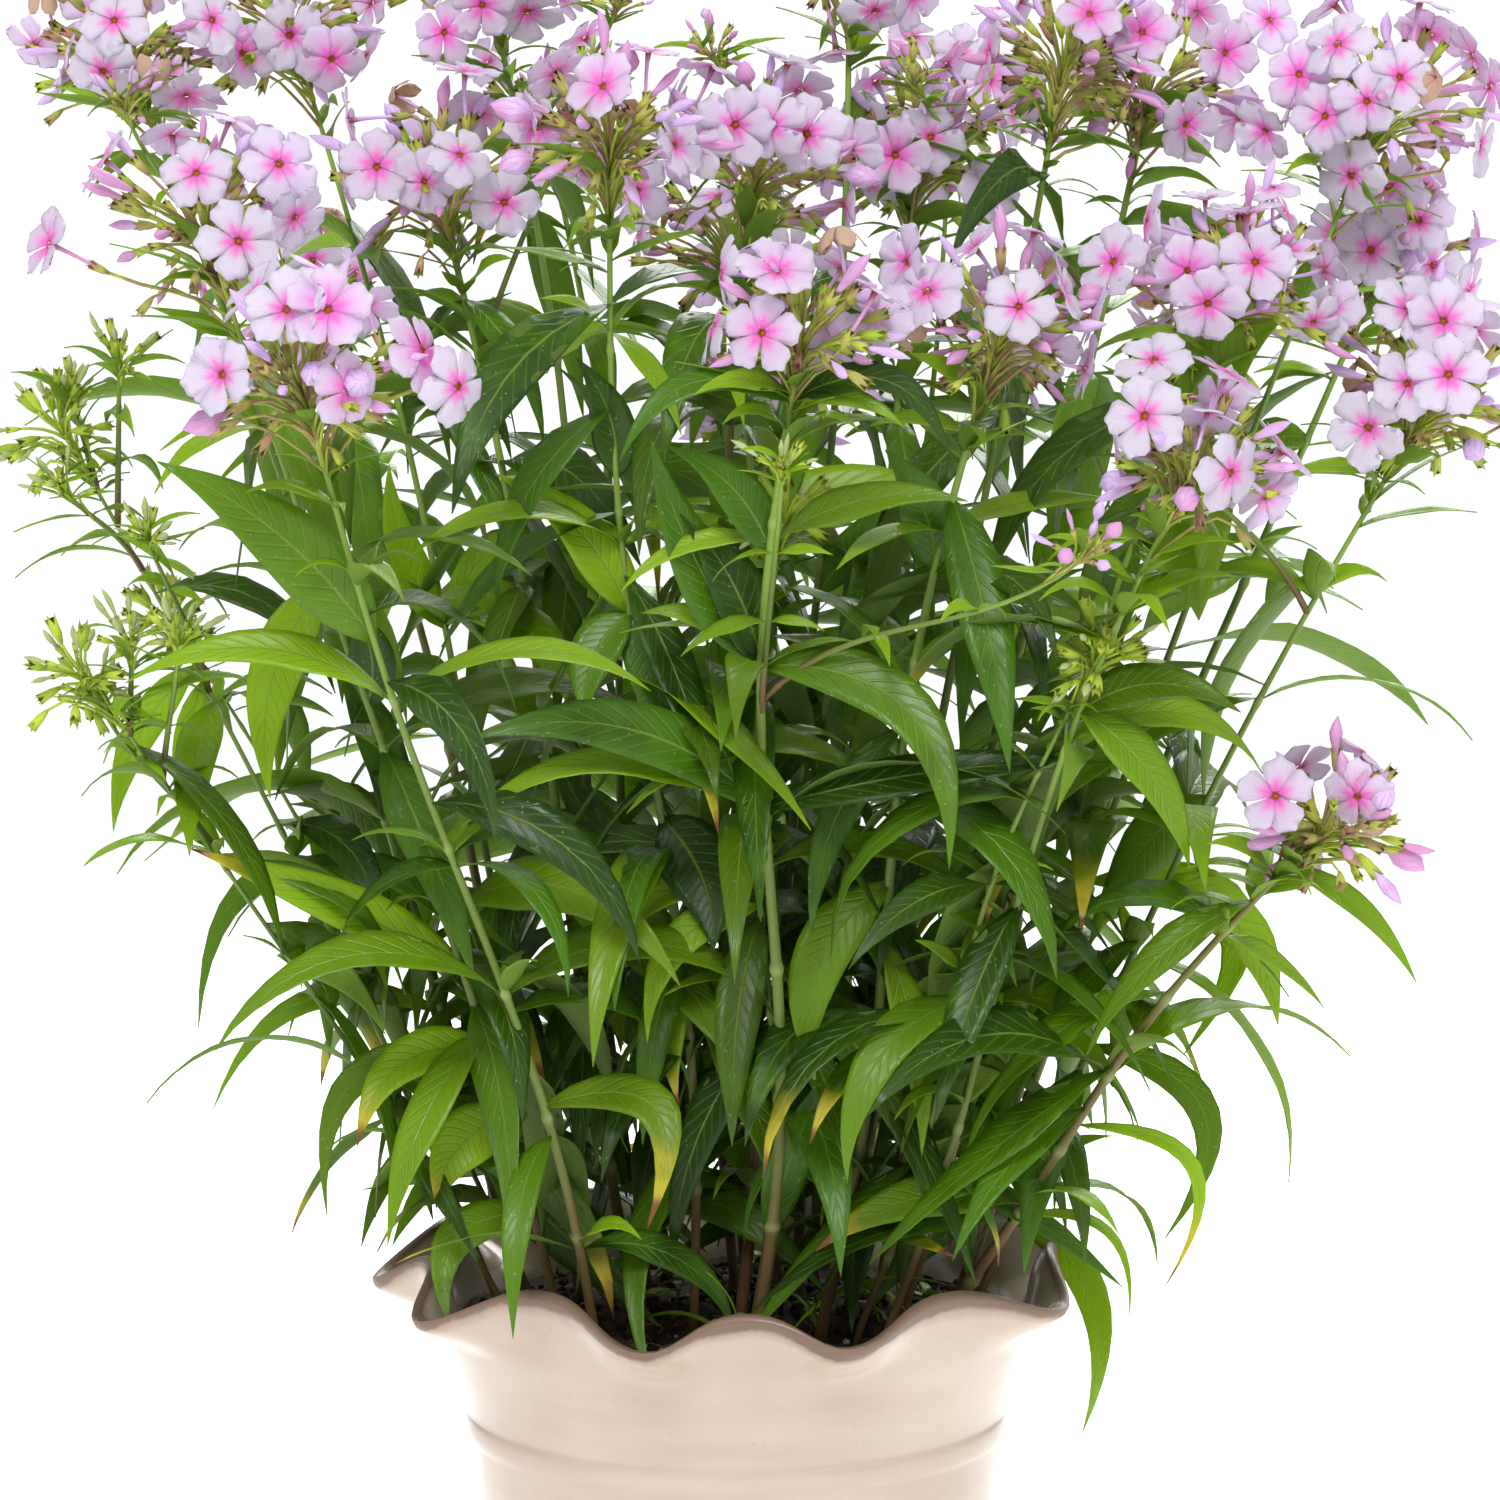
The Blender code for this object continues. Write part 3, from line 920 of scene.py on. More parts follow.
# Point of a stem's centre line at this share of its height; share may be an array
def stemPoint(top, share):
    look = stemShape
    top = np.asarray(top, float)
    share = np.asarray(share, float)[..., None]
    foot = np.array([top[0] * look["footShare"], top[1] * look["footShare"], look["foot"]])
    spread = look["earlySpread"] * share + (1 - look["earlySpread"]) * share * share
    line = foot + (top - foot) * np.concatenate((spread, spread, share), axis=-1)
    side = unit(np.array([-top[1], top[0], 0.0]))
    return line + side * look["bow"] * np.sin(math.tau * share)


def stemDirection(top, share):
    return unit(stemPoint(top, min(share + 0.01, 1.0)) - stemPoint(top, max(share - 0.01, 0.0)))


def stemRadius(share):
    look = stemShape
    return look["footRadius"] + (look["topRadius"] - look["footRadius"]) * share


def addStem(batch, top, girth, chance, redness, joints):
    look = stemShape
    tall = top[2] - look["foot"]
    near = np.concatenate([node + np.array([-2.5, -1.2, 0.0, 1.2, 2.5]) / 1000 / tall for node in joints])
    share = np.sort(np.concatenate((np.linspace(0, 1, look["rings"]), near)))
    joint = np.zeros(len(share))
    for node in joints:
        joint = np.maximum(joint, np.exp(-(((share - node) * tall / look["jointHeight"]) ** 2)))
    radii = stemRadius(share) * girth * (1 + look["jointSwell"] * joint)
    centres = stemPoint(top, share)
    centres[0, 2] -= look["sunk"]
    addTube(batch, centres, radii, (chance, redness, 0), look["sides"], part=joint, along=share)


leafShape = {
    "grid": (13, 7),  # points along and across
    "smallGrid": (9, 5),
    "widthShare": 0.178,
    "thickness": 0.00045,
    "fold": 0.17,
    "waves": 1.6,
    "waveHeight": 0.10,
    "tufts": 0.6,  # share of nodes that carry small leaves too
    # outer leaves low on the plant stand thinly: from this radius, below this height, share left out
    "thinFrom": 0.150,
    "thinBelow": 0.43,
    "thinned": 0.5,
    "depthReach": 0.185,  # none comes farther to the front or the back
    "sideBacklitGlow": 2.6,  # painted backlit glow: leaves at the two sides are given a younger, lighter and yellower colour, by this much for each metre
    "raises": 9,
    "raisedBy": 0.12,  # radians for each try
    "facing": 0.80,  # how far the blades turn their upper face outwards, to the light
    "outline": (
        (0.0, 0.10), (0.04, 0.34), (0.12, 0.70), (0.22, 0.93), (0.34, 1.00), (0.46, 0.96), (0.60, 0.78),
        (0.72, 0.55), (0.82, 0.35), (0.90, 0.19), (0.96, 0.08), (1.0, 0.015),
    ),
}


# Blade grown along a line of points; normals give its upper side at each of them
def addBladeAlong(batch, line, normals, width, rng, age, dryness, grid):
    look = leafShape
    rows, columns = grid
    along = np.linspace(0, 1, rows)
    across = np.broadcast_to(np.linspace(-1, 1, columns), (rows, columns))
    ahead = directionsAlong(line)
    side = np.cross(normals, ahead)
    side /= np.linalg.norm(side, axis=1)[:, None]
    normals = np.cross(ahead, side)
    half = np.interp(along, *zip(*look["outline"])) * width / 2
    # Painted backlit glow: the farther a leaf stands out to either side, the more its colour moves to that of
    # young leaves
    age = np.clip(age - look["sideBacklitGlow"] * max(abs(line[rows // 2, 0]) - 0.08, 0.0), 0, 1)
    start = rng.uniform(0, math.tau, 2)
    waves = np.sin(math.tau * look["waves"] * along[:, None] + np.where(across > 0, start[0], start[1]))
    lift = look["fold"] * np.abs(across) ** 1.3 + look["waveHeight"] * waves * across**2
    surface = line[:, None] + side[:, None] * (across * half[:, None])[:, :, None]
    surface = surface + normals[:, None] * (lift * half[:, None])[:, :, None]
    spread = np.broadcast_to(normals[:, None], surface.shape)
    share = np.broadcast_to(along[:, None], (rows, columns))
    addBlade(batch, surface, spread, look["thickness"], share, across, (rng.uniform(), age, dryness))


# Arching leaf: its pitch runs evenly from rise to fall, and it turns its face outwards
def addLeaf(batch, base, heading, length, rise, fall, width, rng, age, dryness, sway=0.0, small=False):
    grid = leafShape["smallGrid" if small else "grid"]
    along = np.linspace(0, 1, grid[0])
    turn = heading + sway * along
    for lift in range(leafShape["raises"]):  # raised until it clears the pot
        more = leafShape["raisedBy"] * lift
        pitch = rise + more + (fall + more - rise) * along
        ahead = np.stack((np.cos(pitch) * np.cos(turn), np.cos(pitch) * np.sin(turn), np.sin(pitch)), axis=1)
        steps = (ahead[1:] + ahead[:-1]) / 2 * np.diff(along)[:, None] * length
        line = base + np.concatenate((np.zeros((1, 3)), np.cumsum(steps, axis=0)))
        if not meetsPot(line[grid[0] // 3 :]):
            break
    side = np.stack((-np.sin(turn), np.cos(turn), np.zeros_like(turn)), axis=1)
    upper = np.cross(ahead, side)
    middle = line[grid[0] // 2]
    outward = unit(np.array([middle[0], middle[1] - 0.01, 0.0]))
    lean = np.arcsin(np.clip(side @ outward, -1, 1) * 0.9) * leafShape["facing"] * rng.uniform(0.55, 1.15)
    lean = ((lean + rng.uniform(-0.6, 0.6)) * np.minimum(along * 3, 1.0))[:, None]
    normals = upper * np.cos(lean) + side * np.sin(lean)
    addBladeAlong(batch, line, normals, width, rng, age, dryness, grid)


# Heading and reach of a modelled leaf pair, from its farthest corner
def leafPairHeading(node, centre):
    corners = np.array([vertex.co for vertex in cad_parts[node].data.vertices])
    offsets = corners - centre
    flat = np.linalg.norm(offsets[:, :2], axis=1)
    far = offsets[np.argmax(flat)]
    return math.atan2(far[1], far[0]), flat.max()


# Level distance from a leaf's base to its tip
def leafReach(length, rise, fall):
    pitch = np.linspace(rise, fall, 50)
    return length * np.cos(pitch).mean()


# Two opposite leaves on a stem's node; exact ones keep the model's place and pitch
def addLeafPair(batch, top, node, heading, rng, scale=1.0, exact=False):
    share, length, rise, fall = leafNodes[node]
    if not exact:
        share += rng.uniform(-0.03, 0.03)
    centre = stemPoint(top, share)
    rise, fall = math.radians(rise), math.radians(fall)
    for flip in (0, math.pi):
        dryness = float(rng.uniform() < 0.26 - 0.45 * share)
        age = np.clip(1.05 - 0.7 * share + rng.uniform(-0.5, 0.2), 0, 1)
        vary = (0.0, 0.0, 0.0) if exact else rng.uniform(-1, 1, 3)
        hang = 0.0 if exact else rng.uniform(0.1, 1.25 - 0.5 * share)  # lower leaves hang more
        turn = heading + flip + 0.3 * vary[0]
        away = np.array([math.cos(turn), math.sin(turn), 0.0])
        base = centre + away * stemRadius(share) * 0.8
        long = length * scale * (1 + 0.18 * vary[1]) * (0.8 if node < 2 else 1.0)
        width = long * leafShape["widthShare"] * rng.uniform(0.80, 1.15)
        tip = base + away * long * 0.8
        outside = math.hypot(tip[0], tip[1]) > leafShape["thinFrom"] and centre[2] < leafShape["thinBelow"]
        tooDeep = abs(tip[1]) > leafShape["depthReach"]
        if not exact and (tooDeep or outside and rng.uniform() < leafShape["thinned"]):
            continue
        leaving = rise + 0.35 * vary[2] - 1.1 * hang
        falling = fall - 0.05 + 0.45 * vary[1] - 0.4 * hang
        sway = rng.uniform(-0.45, 0.45)
        addLeaf(batch, base, turn, long, leaving, falling, width, rng, age, dryness, sway)
    if rng.uniform() < leafShape["tufts"]:
        addTuft(batch, centre, heading + math.pi / 2, rng)


# Small young leaves in the angle of a node
def addTuft(batch, centre, heading, rng):
    for flip in (0, math.pi):
        turn = heading + flip + rng.uniform(-0.5, 0.5)
        length = rng.uniform(0.020, 0.048)
        addLeaf(
            batch, centre, turn, length, rng.uniform(0.7, 1.2), rng.uniform(-0.9, 0.3),
            length * rng.uniform(0.17, 0.24), rng, rng.uniform(0.0, 0.5), 0.0, small=True,
        )


# Further slender leaves between a stem's nodes, which fill the inside of the plant
def addInnerLeaves(batch, top, firstHeading, rng):
    look = innerLeaves
    shares = look["shares"] if top[1] < 0 else look["lowShares"] + look["shares"]
    for share in shares:
        share += rng.uniform(-0.04, 0.04)
        centre = stemPoint(top, share)
        heading = math.radians(firstHeading + 45) + rng.uniform(0, math.pi)
        for turn in (heading, heading + math.pi):
            length = rng.uniform(*look["length"])
            tip = centre[:2] + 0.7 * length * np.array([math.cos(turn), math.sin(turn)])
            if math.hypot(*tip) > look["reach"] + look["widening"] * share:
                continue
            addLeaf(
                batch, centre, turn, length, rng.uniform(-0.9, 0.7), rng.uniform(-1.6, -1.0),
                length * rng.uniform(*look["width"]), rng, rng.uniform(0.55, 1.0),
                float(rng.uniform() < 0.08), sway=rng.uniform(-0.6, 0.6), small=True,
            )


# Each modelled stem and leaf pair as its own piece, with the stem's further leaves
def makeStemsAndLeaves():
    pair = 0
    for number, (top, _, firstHeading, modelled) in enumerate(modelStems, 1):
        rng = np.random.default_rng(100 + number)
        batch = newBatch()
        girth = rng.uniform(*stemShape["girths"]) if number != frontStem else 1.0
        redness = float(rng.uniform() < 0.15) * 0.8
        addStem(batch, top, girth, rng.uniform(), redness, [node[0] for node in leafNodes])
        makePiece(f"stalk_{number:02d}", batch, stemMaterial, (f"stem_{number:02d}",))
        others = newBatch()
        for node, (share, length, rise, fall) in enumerate(leafNodes):
            if node in modelled:
                pair += 1
                name = f"leaf_pair_{pair:02d}"
                centre = stemPoint(top, share)
                heading, reach = leafPairHeading(name, centre)
                usual = leafReach(length, math.radians(rise), math.radians(fall)) + stemRadius(share) + 0.001
                leaves = newBatch()
                addLeafPair(leaves, top, node, heading, rng, scale=reach / usual, exact=True)
                makePiece(f"leaves_{pair:02d}", leaves, leafMaterial, (name,))
            elif number != frontStem or node > max(modelled):
                heading = math.radians(firstHeading + 90 * node + rng.uniform(-15, 15))
                scale = rng.uniform(0.85, 1.1)
                if node or rng.uniform() < bareFoot:
                    addLeafPair(others, top, node, heading, rng, scale=scale)
        if number != frontStem:
            addInnerLeaves(others, top, firstHeading, rng)
        makePiece(f"stemLeaves_{number:02d}", others, leafMaterial)


def makeMoreStems():
    for number, (top, _, firstHeading, kind) in enumerate(moreStems, 17):
        rng = np.random.default_rng(100 + number)
        batch = newBatch()
        redness = float(rng.uniform() < 0.15) * 0.8
        girth = rng.uniform(*stemShape["girths"]) * (0.7 if kind == "green" else 1.0)
        addStem(batch, top, girth, rng.uniform(), redness, [node[0] for node in leafNodes])
        makePiece(f"stalk_{number:02d}", batch, stemMaterial)
        leaves = newBatch()
        for node in range(len(leafNodes)):
            heading = math.radians(firstHeading + 90 * node + rng.uniform(-15, 15))
            scale = rng.uniform(0.85, 1.1) * (0.75 if kind == "green" else 1.0)
            if node or rng.uniform() < bareFoot:
                addLeafPair(leaves, top, node, heading, rng, scale=scale)
        addInnerLeaves(leaves, top, firstHeading, rng)
        makePiece(f"stemLeaves_{number:02d}", leaves, leafMaterial)


leafTurn = 2.4  # radians from one leaf of a cluster to the next

# Short side shoots, each with a few small leaves and a spiky cluster of green buds:
# stem, share of its height, end as (x, z) in millimetres in the view, depth, size, colour of the buds
sideShoots = (
    (21, 0.97, (-226, 495), -30, 0.016, "green"),
    (21, 0.93, (-209, 506), -45, 0.017, "green"),
    (21, 0.88, (-228, 463), -50, 0.014, "green"),
    (21, 0.74, (-200, 446), -60, 0.014, "green"),
    (22, 0.95, (-206, 410), -80, 0.016, "green"),
    (22, 0.88, (-190, 411), -90, 0.015, "green"),
    (22, 0.74, (-218, 392), -60, 0.013, "green"),
    (7, 0.70, (118, 440), -165, 0.015, "violet"),
    (7, 0.68, (16, 470), -165, 0.010, "green"),
    (1, 0.90, (-206, 592), -20, 0.018, "violet"),
    (13, 0.84, (146, 478), -110, 0.013, "green"),
    (10, 0.86, (60, 600), 20, 0.016, "violet"),
    (9, 0.88, (-8, 610), 0, 0.016, "violet"),
    (4, 0.90, (-50, 600), 20, 0.016, "green"),
    (5, 0.90, (-40, 625), 40, 0.016, "violet"),
)


# Spiky cluster: narrow buds and calyxes with pointed leaves curving back under them
def addCluster(tubes, sprays, leaves, axis, size, green, rng):
    centre = axis[1]
    lean = unit(axis[1] - axis[0])
    for direction in spreadDirections(11, rng):
        way = unit(direction + lean * 0.8 + rng.normal(size=3) * 0.3)
        foot = centre + way * size * rng.uniform(0.15, 0.60)
        if rng.uniform() < 0.65:
            addBud(tubes, sprays, axis, foot, way, rng, rng.uniform(0.45, 0.75), green)
        else:
            addStalkedCalyx(sprays, axis, foot, way, rng, rng.uniform(0.7, 1.0), 0.1 + 0.4 * (1 - green))
    for index in range(9):
        length = size * rng.uniform(0.8, 1.7)
        addLeaf(
            leaves, centre - lean * size * rng.uniform(-0.4, 0.7), index * leafTurn + rng.uniform(0, 0.8),
            length, rng.uniform(0.1, 1.1), rng.uniform(-0.9, 0.6), length * 0.15, rng,
            rng.uniform(0, 0.15), 0.0, small=True,
        )


def makeSideShoots():
    tubes, sprays, leaves, stalks = newBatch(), newBatch(), newBatch(), newBatch()
    rows = modelStems + moreStems
    for index, (stem, share, (x, z), depth, size, colour) in enumerate(sideShoots):
        rng = np.random.default_rng(900 + index)
        start = stemPoint(rows[stem - 1][0], share)
        end = inView(x, z, depth)
        away = unit(end - start)
        line = bentLine(start, end, unit(away + up * 0.5), unit(away + up * rng.uniform(-0.1, 0.5)), 14)
        addTube(stalks, line, np.linspace(0.00115, 0.0007, 14), (rng.uniform(), 0, 0), sides=6)
        for at in (5, 9):
            heading = rng.uniform(0, math.pi)
            for flip in (0, math.pi):
                length = rng.uniform(0.018, 0.034)
                addLeaf(
                    leaves, line[at], heading + flip, length, rng.uniform(0, 0.7), rng.uniform(-1.3, -0.3),
                    length * 0.2, rng, rng.uniform(0, 0.4), 0.0, small=True,
                )
        axis = (line[-3], line[-1])
        addCluster(tubes, sprays, leaves, axis, size, 1.0 if colour == "green" else 0.0, rng)
    makePiece("shootStalks", stalks, stemMaterial)
    makePiece("shootLeaves", leaves, leafMaterial)
    makePiece("shootBuds", tubes, budMaterial)
    makePiece("shootSprays", sprays, sprayMaterial)


# Leaves that show best from the front: where each leaves its stem and where its tip is, as pixels
# of the 1500 pixel view, then how far the tip comes forward, how high the blade arches and its
# width, all in millimetres, and its age and dryness. Each grows from the stem nearest its base.
shownLeaves = (
    ((765, 797), (462, 728), 15, 14, 21, 0.8, 0), ((765, 797), (1113, 750), 15, 4, 17, 0.8, 0),
    ((775, 655), (665, 430), 15, -4, 20, 0.8, 0), ((785, 665), (975, 870), 35, 22, 19, 0.6, 0),
    ((812, 400), (640, 460), 15, 14, 13, 0.8, 0), ((815, 395), (975, 450), 15, 14, 14, 0.8, 0),
    ((420, 625), (205, 445), 15, 6, 24, 0.7, 0), ((460, 612), (405, 448), 15, -5, 15, 0.2, 0),
    ((432, 628), (592, 606), 20, 24, 13, 0.3, 0), ((600, 600), (465, 462), 15, 6, 18, 0.1, 0),
    ((400, 400), (160, 442), 15, 10, 13, 0.3, 0), ((400, 400), (512, 452), 15, 14, 12, 0.7, 0),
    ((600, 612), (556, 722), 15, 5, 17, 0.6, 0), ((655, 600), (690, 752), 15, 3, 17, 0.8, 0),
    ((770, 545), (665, 440), 10, 5, 17, 0.9, 0), ((760, 660), (672, 500), 10, 4, 20, 0.9, 0),
    ((832, 600), (952, 488), 15, 3, 15, 0.8, 0), ((1215, 410), (1312, 318), 15, 3, 22, 0.6, 0),
    ((1215, 410), (1232, 612), 20, 5, 17, 0.5, 0), ((1215, 412), (1158, 414), 10, 3, 9, 0.6, 0),
    ((1312, 432), (1248, 480), 10, 6, 17, 0.6, 0), ((1150, 500), (1206, 606), 15, 4, 26, 0.5, 0),
    ((1120, 715), (1282, 716), 15, 8, 17, 0.7, 0), ((1120, 715), (1232, 872), 15, 6, 17, 0.5, 0),
    ((1092, 868), (1190, 1045), 25, 34, 17, 0.4, 0), ((1188, 885), (1300, 1035), 15, 8, 20, 0.0, 0),
    ((1085, 870), (940, 920), 15, 14, 13, 0.6, 0), ((1280, 825), (1412, 945), 10, 5, 8, 0.6, 0),
    ((1000, 1200), (1093, 1440), 60, 18, 13, 0.3, 0), ((755, 1110), (650, 1410), 75, 20, 13, 0.6, 0),
    ((530, 1220), (445, 1340), 30, 15, 15, 0.5, 0), ((455, 962), (183, 845), 15, 2, 17, 0.2, 1),
    ((470, 1060), (300, 1215), 20, 25, 12, 0.6, 0), ((485, 1050), (352, 1150), 25, 12, 17, 0.0, 1),
    ((510, 1110), (437, 1205), 20, 6, 20, 0.0, 1), ((430, 1020), (195, 1122), 10, 20, 9, 0.5, 0),
    ((410, 905), (190, 1022), 10, 32, 12, 0.8, 0), ((262, 592), (205, 808), 15, 8, 18, 0.2, 0),
    ((190, 665), (105, 832), 10, 6, 13, 0.1, 0), ((202, 680), (190, 852), 10, 4, 10, 0.2, 0),
    ((560, 1092), (665, 1218), 30, 25, 16, 0.4, 1), ((540, 905), (592, 1058), 20, 4, 16, 0.4, 0),
    ((762, 905), (648, 1045), 25, 12, 13, 0.2, 0), ((690, 962), (686, 1102), 20, 3, 11, 0.3, 1),
    ((640, 815), (692, 950), 20, 5, 24, 0.8, 0), ((885, 872), (812, 1080), 20, 12, 19, 0.4, 0),
    ((868, 930), (906, 1148), 20, 4, 13, 0.3, 0), ((935, 895), (935, 1102), 20, 5, 20, 0.7, 0),
    ((775, 1240), (842, 1060), 15, 3, 14, 1.0, 0), ((1012, 1090), (892, 1185), 20, 8, 19, 0.1, 1),
    ((1075, 1040), (1150, 1240), 15, 25, 12, 0.7, 0), ((1100, 1132), (1190, 1302), 10, 25, 6, 0.2, 1),
    ((1020, 1180), (1105, 1130), 10, 4, 8, 0.4, 0), ((1045, 1240), (1160, 1352), 15, 16, 4, 0.3, 0),
    ((480, 1140), (388, 1242), 15, 4, 10, 0.6, 0), ((600, 470), (560, 350), 10, 4, 15, 0.9, 0),
    ((900, 560), (850, 440), 10, 4, 18, 0.9, 0), ((1010, 560), (1100, 500), 10, 5, 17, 0.5, 0),
    ((500, 640), (400, 600), 10, 8, 15, 0.5, 0), ((350, 700), (330, 600), 10, 4, 17, 0.9, 0),
)
photoView = {"centre": 735, "top": 1839, "mmAcross": 0.34, "mmDown": 0.342}  # pixel to millimetre


def fromPixel(x, y, depth):
    look = photoView
    return inView((x - look["centre"]) * look["mmAcross"], (look["top"] - y) * look["mmDown"], depth)


# The point on any stem that stands nearest this place in the view, nearer stems first
def nearestStemPoint(x, y):
    best = None
    for top in [row[0] for row in modelStems + moreStems]:
        for point in stemPoint(top, np.linspace(0.03, 1, 60)):
            offset = fromPixel(x, y, point[1] * 1000) - point
            score = np.linalg.norm(offset) + 0.06 * (point[1] + 0.15)
            if best is None or score < best[0]:
                best = score, point
    return best[1]


def makeShownLeaves():
    batches = [newBatch() for _ in range(4)]
    for index, (base, tip, forward, arch, width, age, dryness) in enumerate(shownLeaves):
        rng = np.random.default_rng(1300 + index)
        start = nearestStemPoint(*base)
        depth = start[1] * 1000
        end = start + fromPixel(*tip, depth - forward) - fromPixel(*base, depth)
        across = unit(np.cross(end - start, (0.0, 1.0, 0.0)))
        across = across if across[2] > 0 else -across
        bend = (start + end) / 2 + across * arch * 0.0022
        share = np.linspace(0, 1, leafShape["grid"][0])[:, None]
        line = (1 - share) ** 2 * start + 2 * share * (1 - share) * bend + share**2 * end
        ahead = directionsAlong(line)
        facing = unit(np.array([rng.uniform(-0.3, 0.3), -0.85, rng.uniform(0.35, 0.9)]))
        normals = facing - ahead * (ahead @ facing)[:, None]
        addBladeAlong(
            batches[index % 4], line, normals, width / 1000, rng, age, float(dryness), leafShape["grid"]
        )
    for index, batch in enumerate(batches, 1):
        makePiece(f"frontLeaves_{index}", batch, leafMaterial)


# Seedlings and a few thin grass blades at the foot of the stems
seedlingShape = {"count": 9, "grass": 8, "seed": 71, "reach": (0.020, 0.082)}


def makeSeedlings():
    look = seedlingShape
    rng = np.random.default_rng(look["seed"])
    stalks, leaves = newBatch(), newBatch()
    for index in range(look["count"] + look["grass"]):
        radius, turn = rng.uniform(*look["reach"]), rng.uniform(0, math.tau)
        x, y = radius * math.cos(turn), radius * math.sin(turn)
        foot = np.array([x, y, soilHeight(x, y) - 0.0015])
        if index >= look["count"]:
            addLeaf(
                leaves, foot, rng.uniform(0, math.tau), rng.uniform(0.035, 0.070), rng.uniform(1.0, 1.4),
                rng.uniform(-0.6, 0.2), rng.uniform(0.0022, 0.0038), rng, 0.2, 0.0,
            )
            continue
        aside, ahead = rng.uniform(-0.006, 0.006), rng.uniform(-0.006, 0.006)
        end = foot + np.array([aside, ahead, rng.uniform(0.008, 0.024)])
        line = bentLine(foot, end, up, unit(end - foot), 6)
        addTube(stalks, line, np.linspace(0.0006, 0.0004, 6), (rng.uniform(), 0, 0), sides=5)
        for at in (2, 4, 5):
            heading = rng.uniform(0, math.pi)
            for flip in (0, math.pi):
                length = rng.uniform(0.006, 0.011)
                addLeaf(
                    leaves, line[at], heading + flip, length, rng.uniform(0.1, 0.6), rng.uniform(-0.5, 0.1),
                    length * 0.55, rng, 0.1, 0.0, small=True,
                )
    makePiece("seedlingStalks", stalks, stemMaterial)
    makePiece("seedlingLeaves", leaves, leafMaterial)


makeStemsAndLeaves()
makeMoreStems()
makeShownLeaves()
print("stems and leaves made")


flowerShape = {
    "radius": 0.0137,
    "throat": 0.070,
    "thickness": 0.00025,
    "overlap": 0.16,
    "tube": 0.022,
    "tubeRadius": 0.00075,
    # half width of a petal along its length, as shares of the flower's radius
    "outline": ((0.0, 0.070), (0.20, 0.175), (0.45, 0.315), (0.72, 0.425), (0.90, 0.360), (1.0, 0.13)),
}
calyxShape = {"length": 0.0085, "radius": 0.00135, "teeth": 5, "flare": 1.22, "sunk": 0.001}
petalAlong = np.array([share for share, _ in flowerShape["outline"]])
petalAcross = np.linspace(-1, 1, 5)
petalWide = np.array([wide for _, wide in flowerShape["outline"]])


def facingFrame(facing, spin):
    side = np.cross(facing, up if abs(facing[2]) < 0.95 else (0.0, 1.0, 0.0))
    side = unit(side)
    over = np.cross(facing, side)
    return side * math.cos(spin) + over * math.sin(spin), over * math.cos(spin) - side * math.sin(spin)


# Five broad petals, each lapping over the next, round the mouth of the tube
def addPetals(batch, face, facing, size, spin, rng, fade=0.0, cup=0.0):
    look = flowerShape
    radius = look["radius"] * size
    across = petalAcross[None, :] * np.ones((len(petalAlong), 1))
    along = petalAlong[:, None] * np.ones((1, len(petalAcross)))
    chance, glow = rng.uniform(), rng.uniform()
    for petal in range(5):
        vary = rng.uniform(-1, 1, 4)
        first, second = facingFrame(facing, spin + petal * math.tau / 5 + 0.06 * vary[0])
        outward = look["throat"] + (1 - look["throat"]) * along * (1 + 0.06 * vary[1])
        rounding = outward - 0.10 * across**2 * along
        sideways = across * petalWide[:, None] * (1 + 0.05 * vary[2])
        height = cup * along + (0.10 * along - 0.16 * along**2)
        ripple = 0.03 * np.sin(5 * along + 3 * across + 3 * vary[3])
        height += look["overlap"] * sideways * (0.35 + along) * 0.6 + ripple
        height -= fade * 0.9 * along**2
        shrink = 1 - 0.45 * fade
        surface = face + radius * shrink * (
            first * rounding[:, :, None] + second * sideways[:, :, None] + facing * height[:, :, None]
        )
        normals = np.broadcast_to(facing, surface.shape)
        addBlade(batch, surface, normals, look["thickness"], along, across * 0.999, (chance, fade, glow))


# Narrow cup with five pointed teeth, drawn as an outer and an inner wall
def addCalyx(batch, base, direction, size, ripe, rng):
    look = calyxShape
    count = look["teeth"] * 2
    side, over = facingFrame(direction, rng.uniform(0, math.tau))
    turn = fullTurn(count)
    spokes = np.cos(turn)[:, None] * side + np.sin(turn)[:, None] * over
    tooth = (np.arange(count) % 2 == 0).astype(float)
    rows = ((0.0, 0.45, 0.0), (0.32, 1.0, 0.0), (0.62, 1.05, 0.38), (0.58, 0.82, 0.30))
    points, places = [], []
    for along, wide, point in rows:
        reach = along + point * tooth
        flare = wide + (look["flare"] - 1.0) * (point > 0) * tooth * 1.6
        rise = direction * (reach * look["length"] * size)[:, None]
        points.append(base + rise + spokes * (flare * look["radius"] * size)[:, None])
        places.append(np.column_stack((reach, turn / math.tau, np.ones(count))))
    quads, caps = tubeFaces(len(rows), count)
    addPart(batch, np.concatenate(points), np.concatenate(places), (rng.uniform(), ripe, 0), quads, caps)


# Smooth line that leaves start and reaches end along the given directions
def bentLine(start, end, startWay, endWay, count=6):
    share = np.linspace(0, 1, count)[:, None]
    pull = np.linalg.norm(end - start) * 0.38
    first, second = start + startWay * pull, end - endWay * pull
    inverse = 1 - share
    early = inverse**3 * start + 3 * inverse**2 * share * first
    return early + 3 * inverse * share**2 * second + share**3 * end


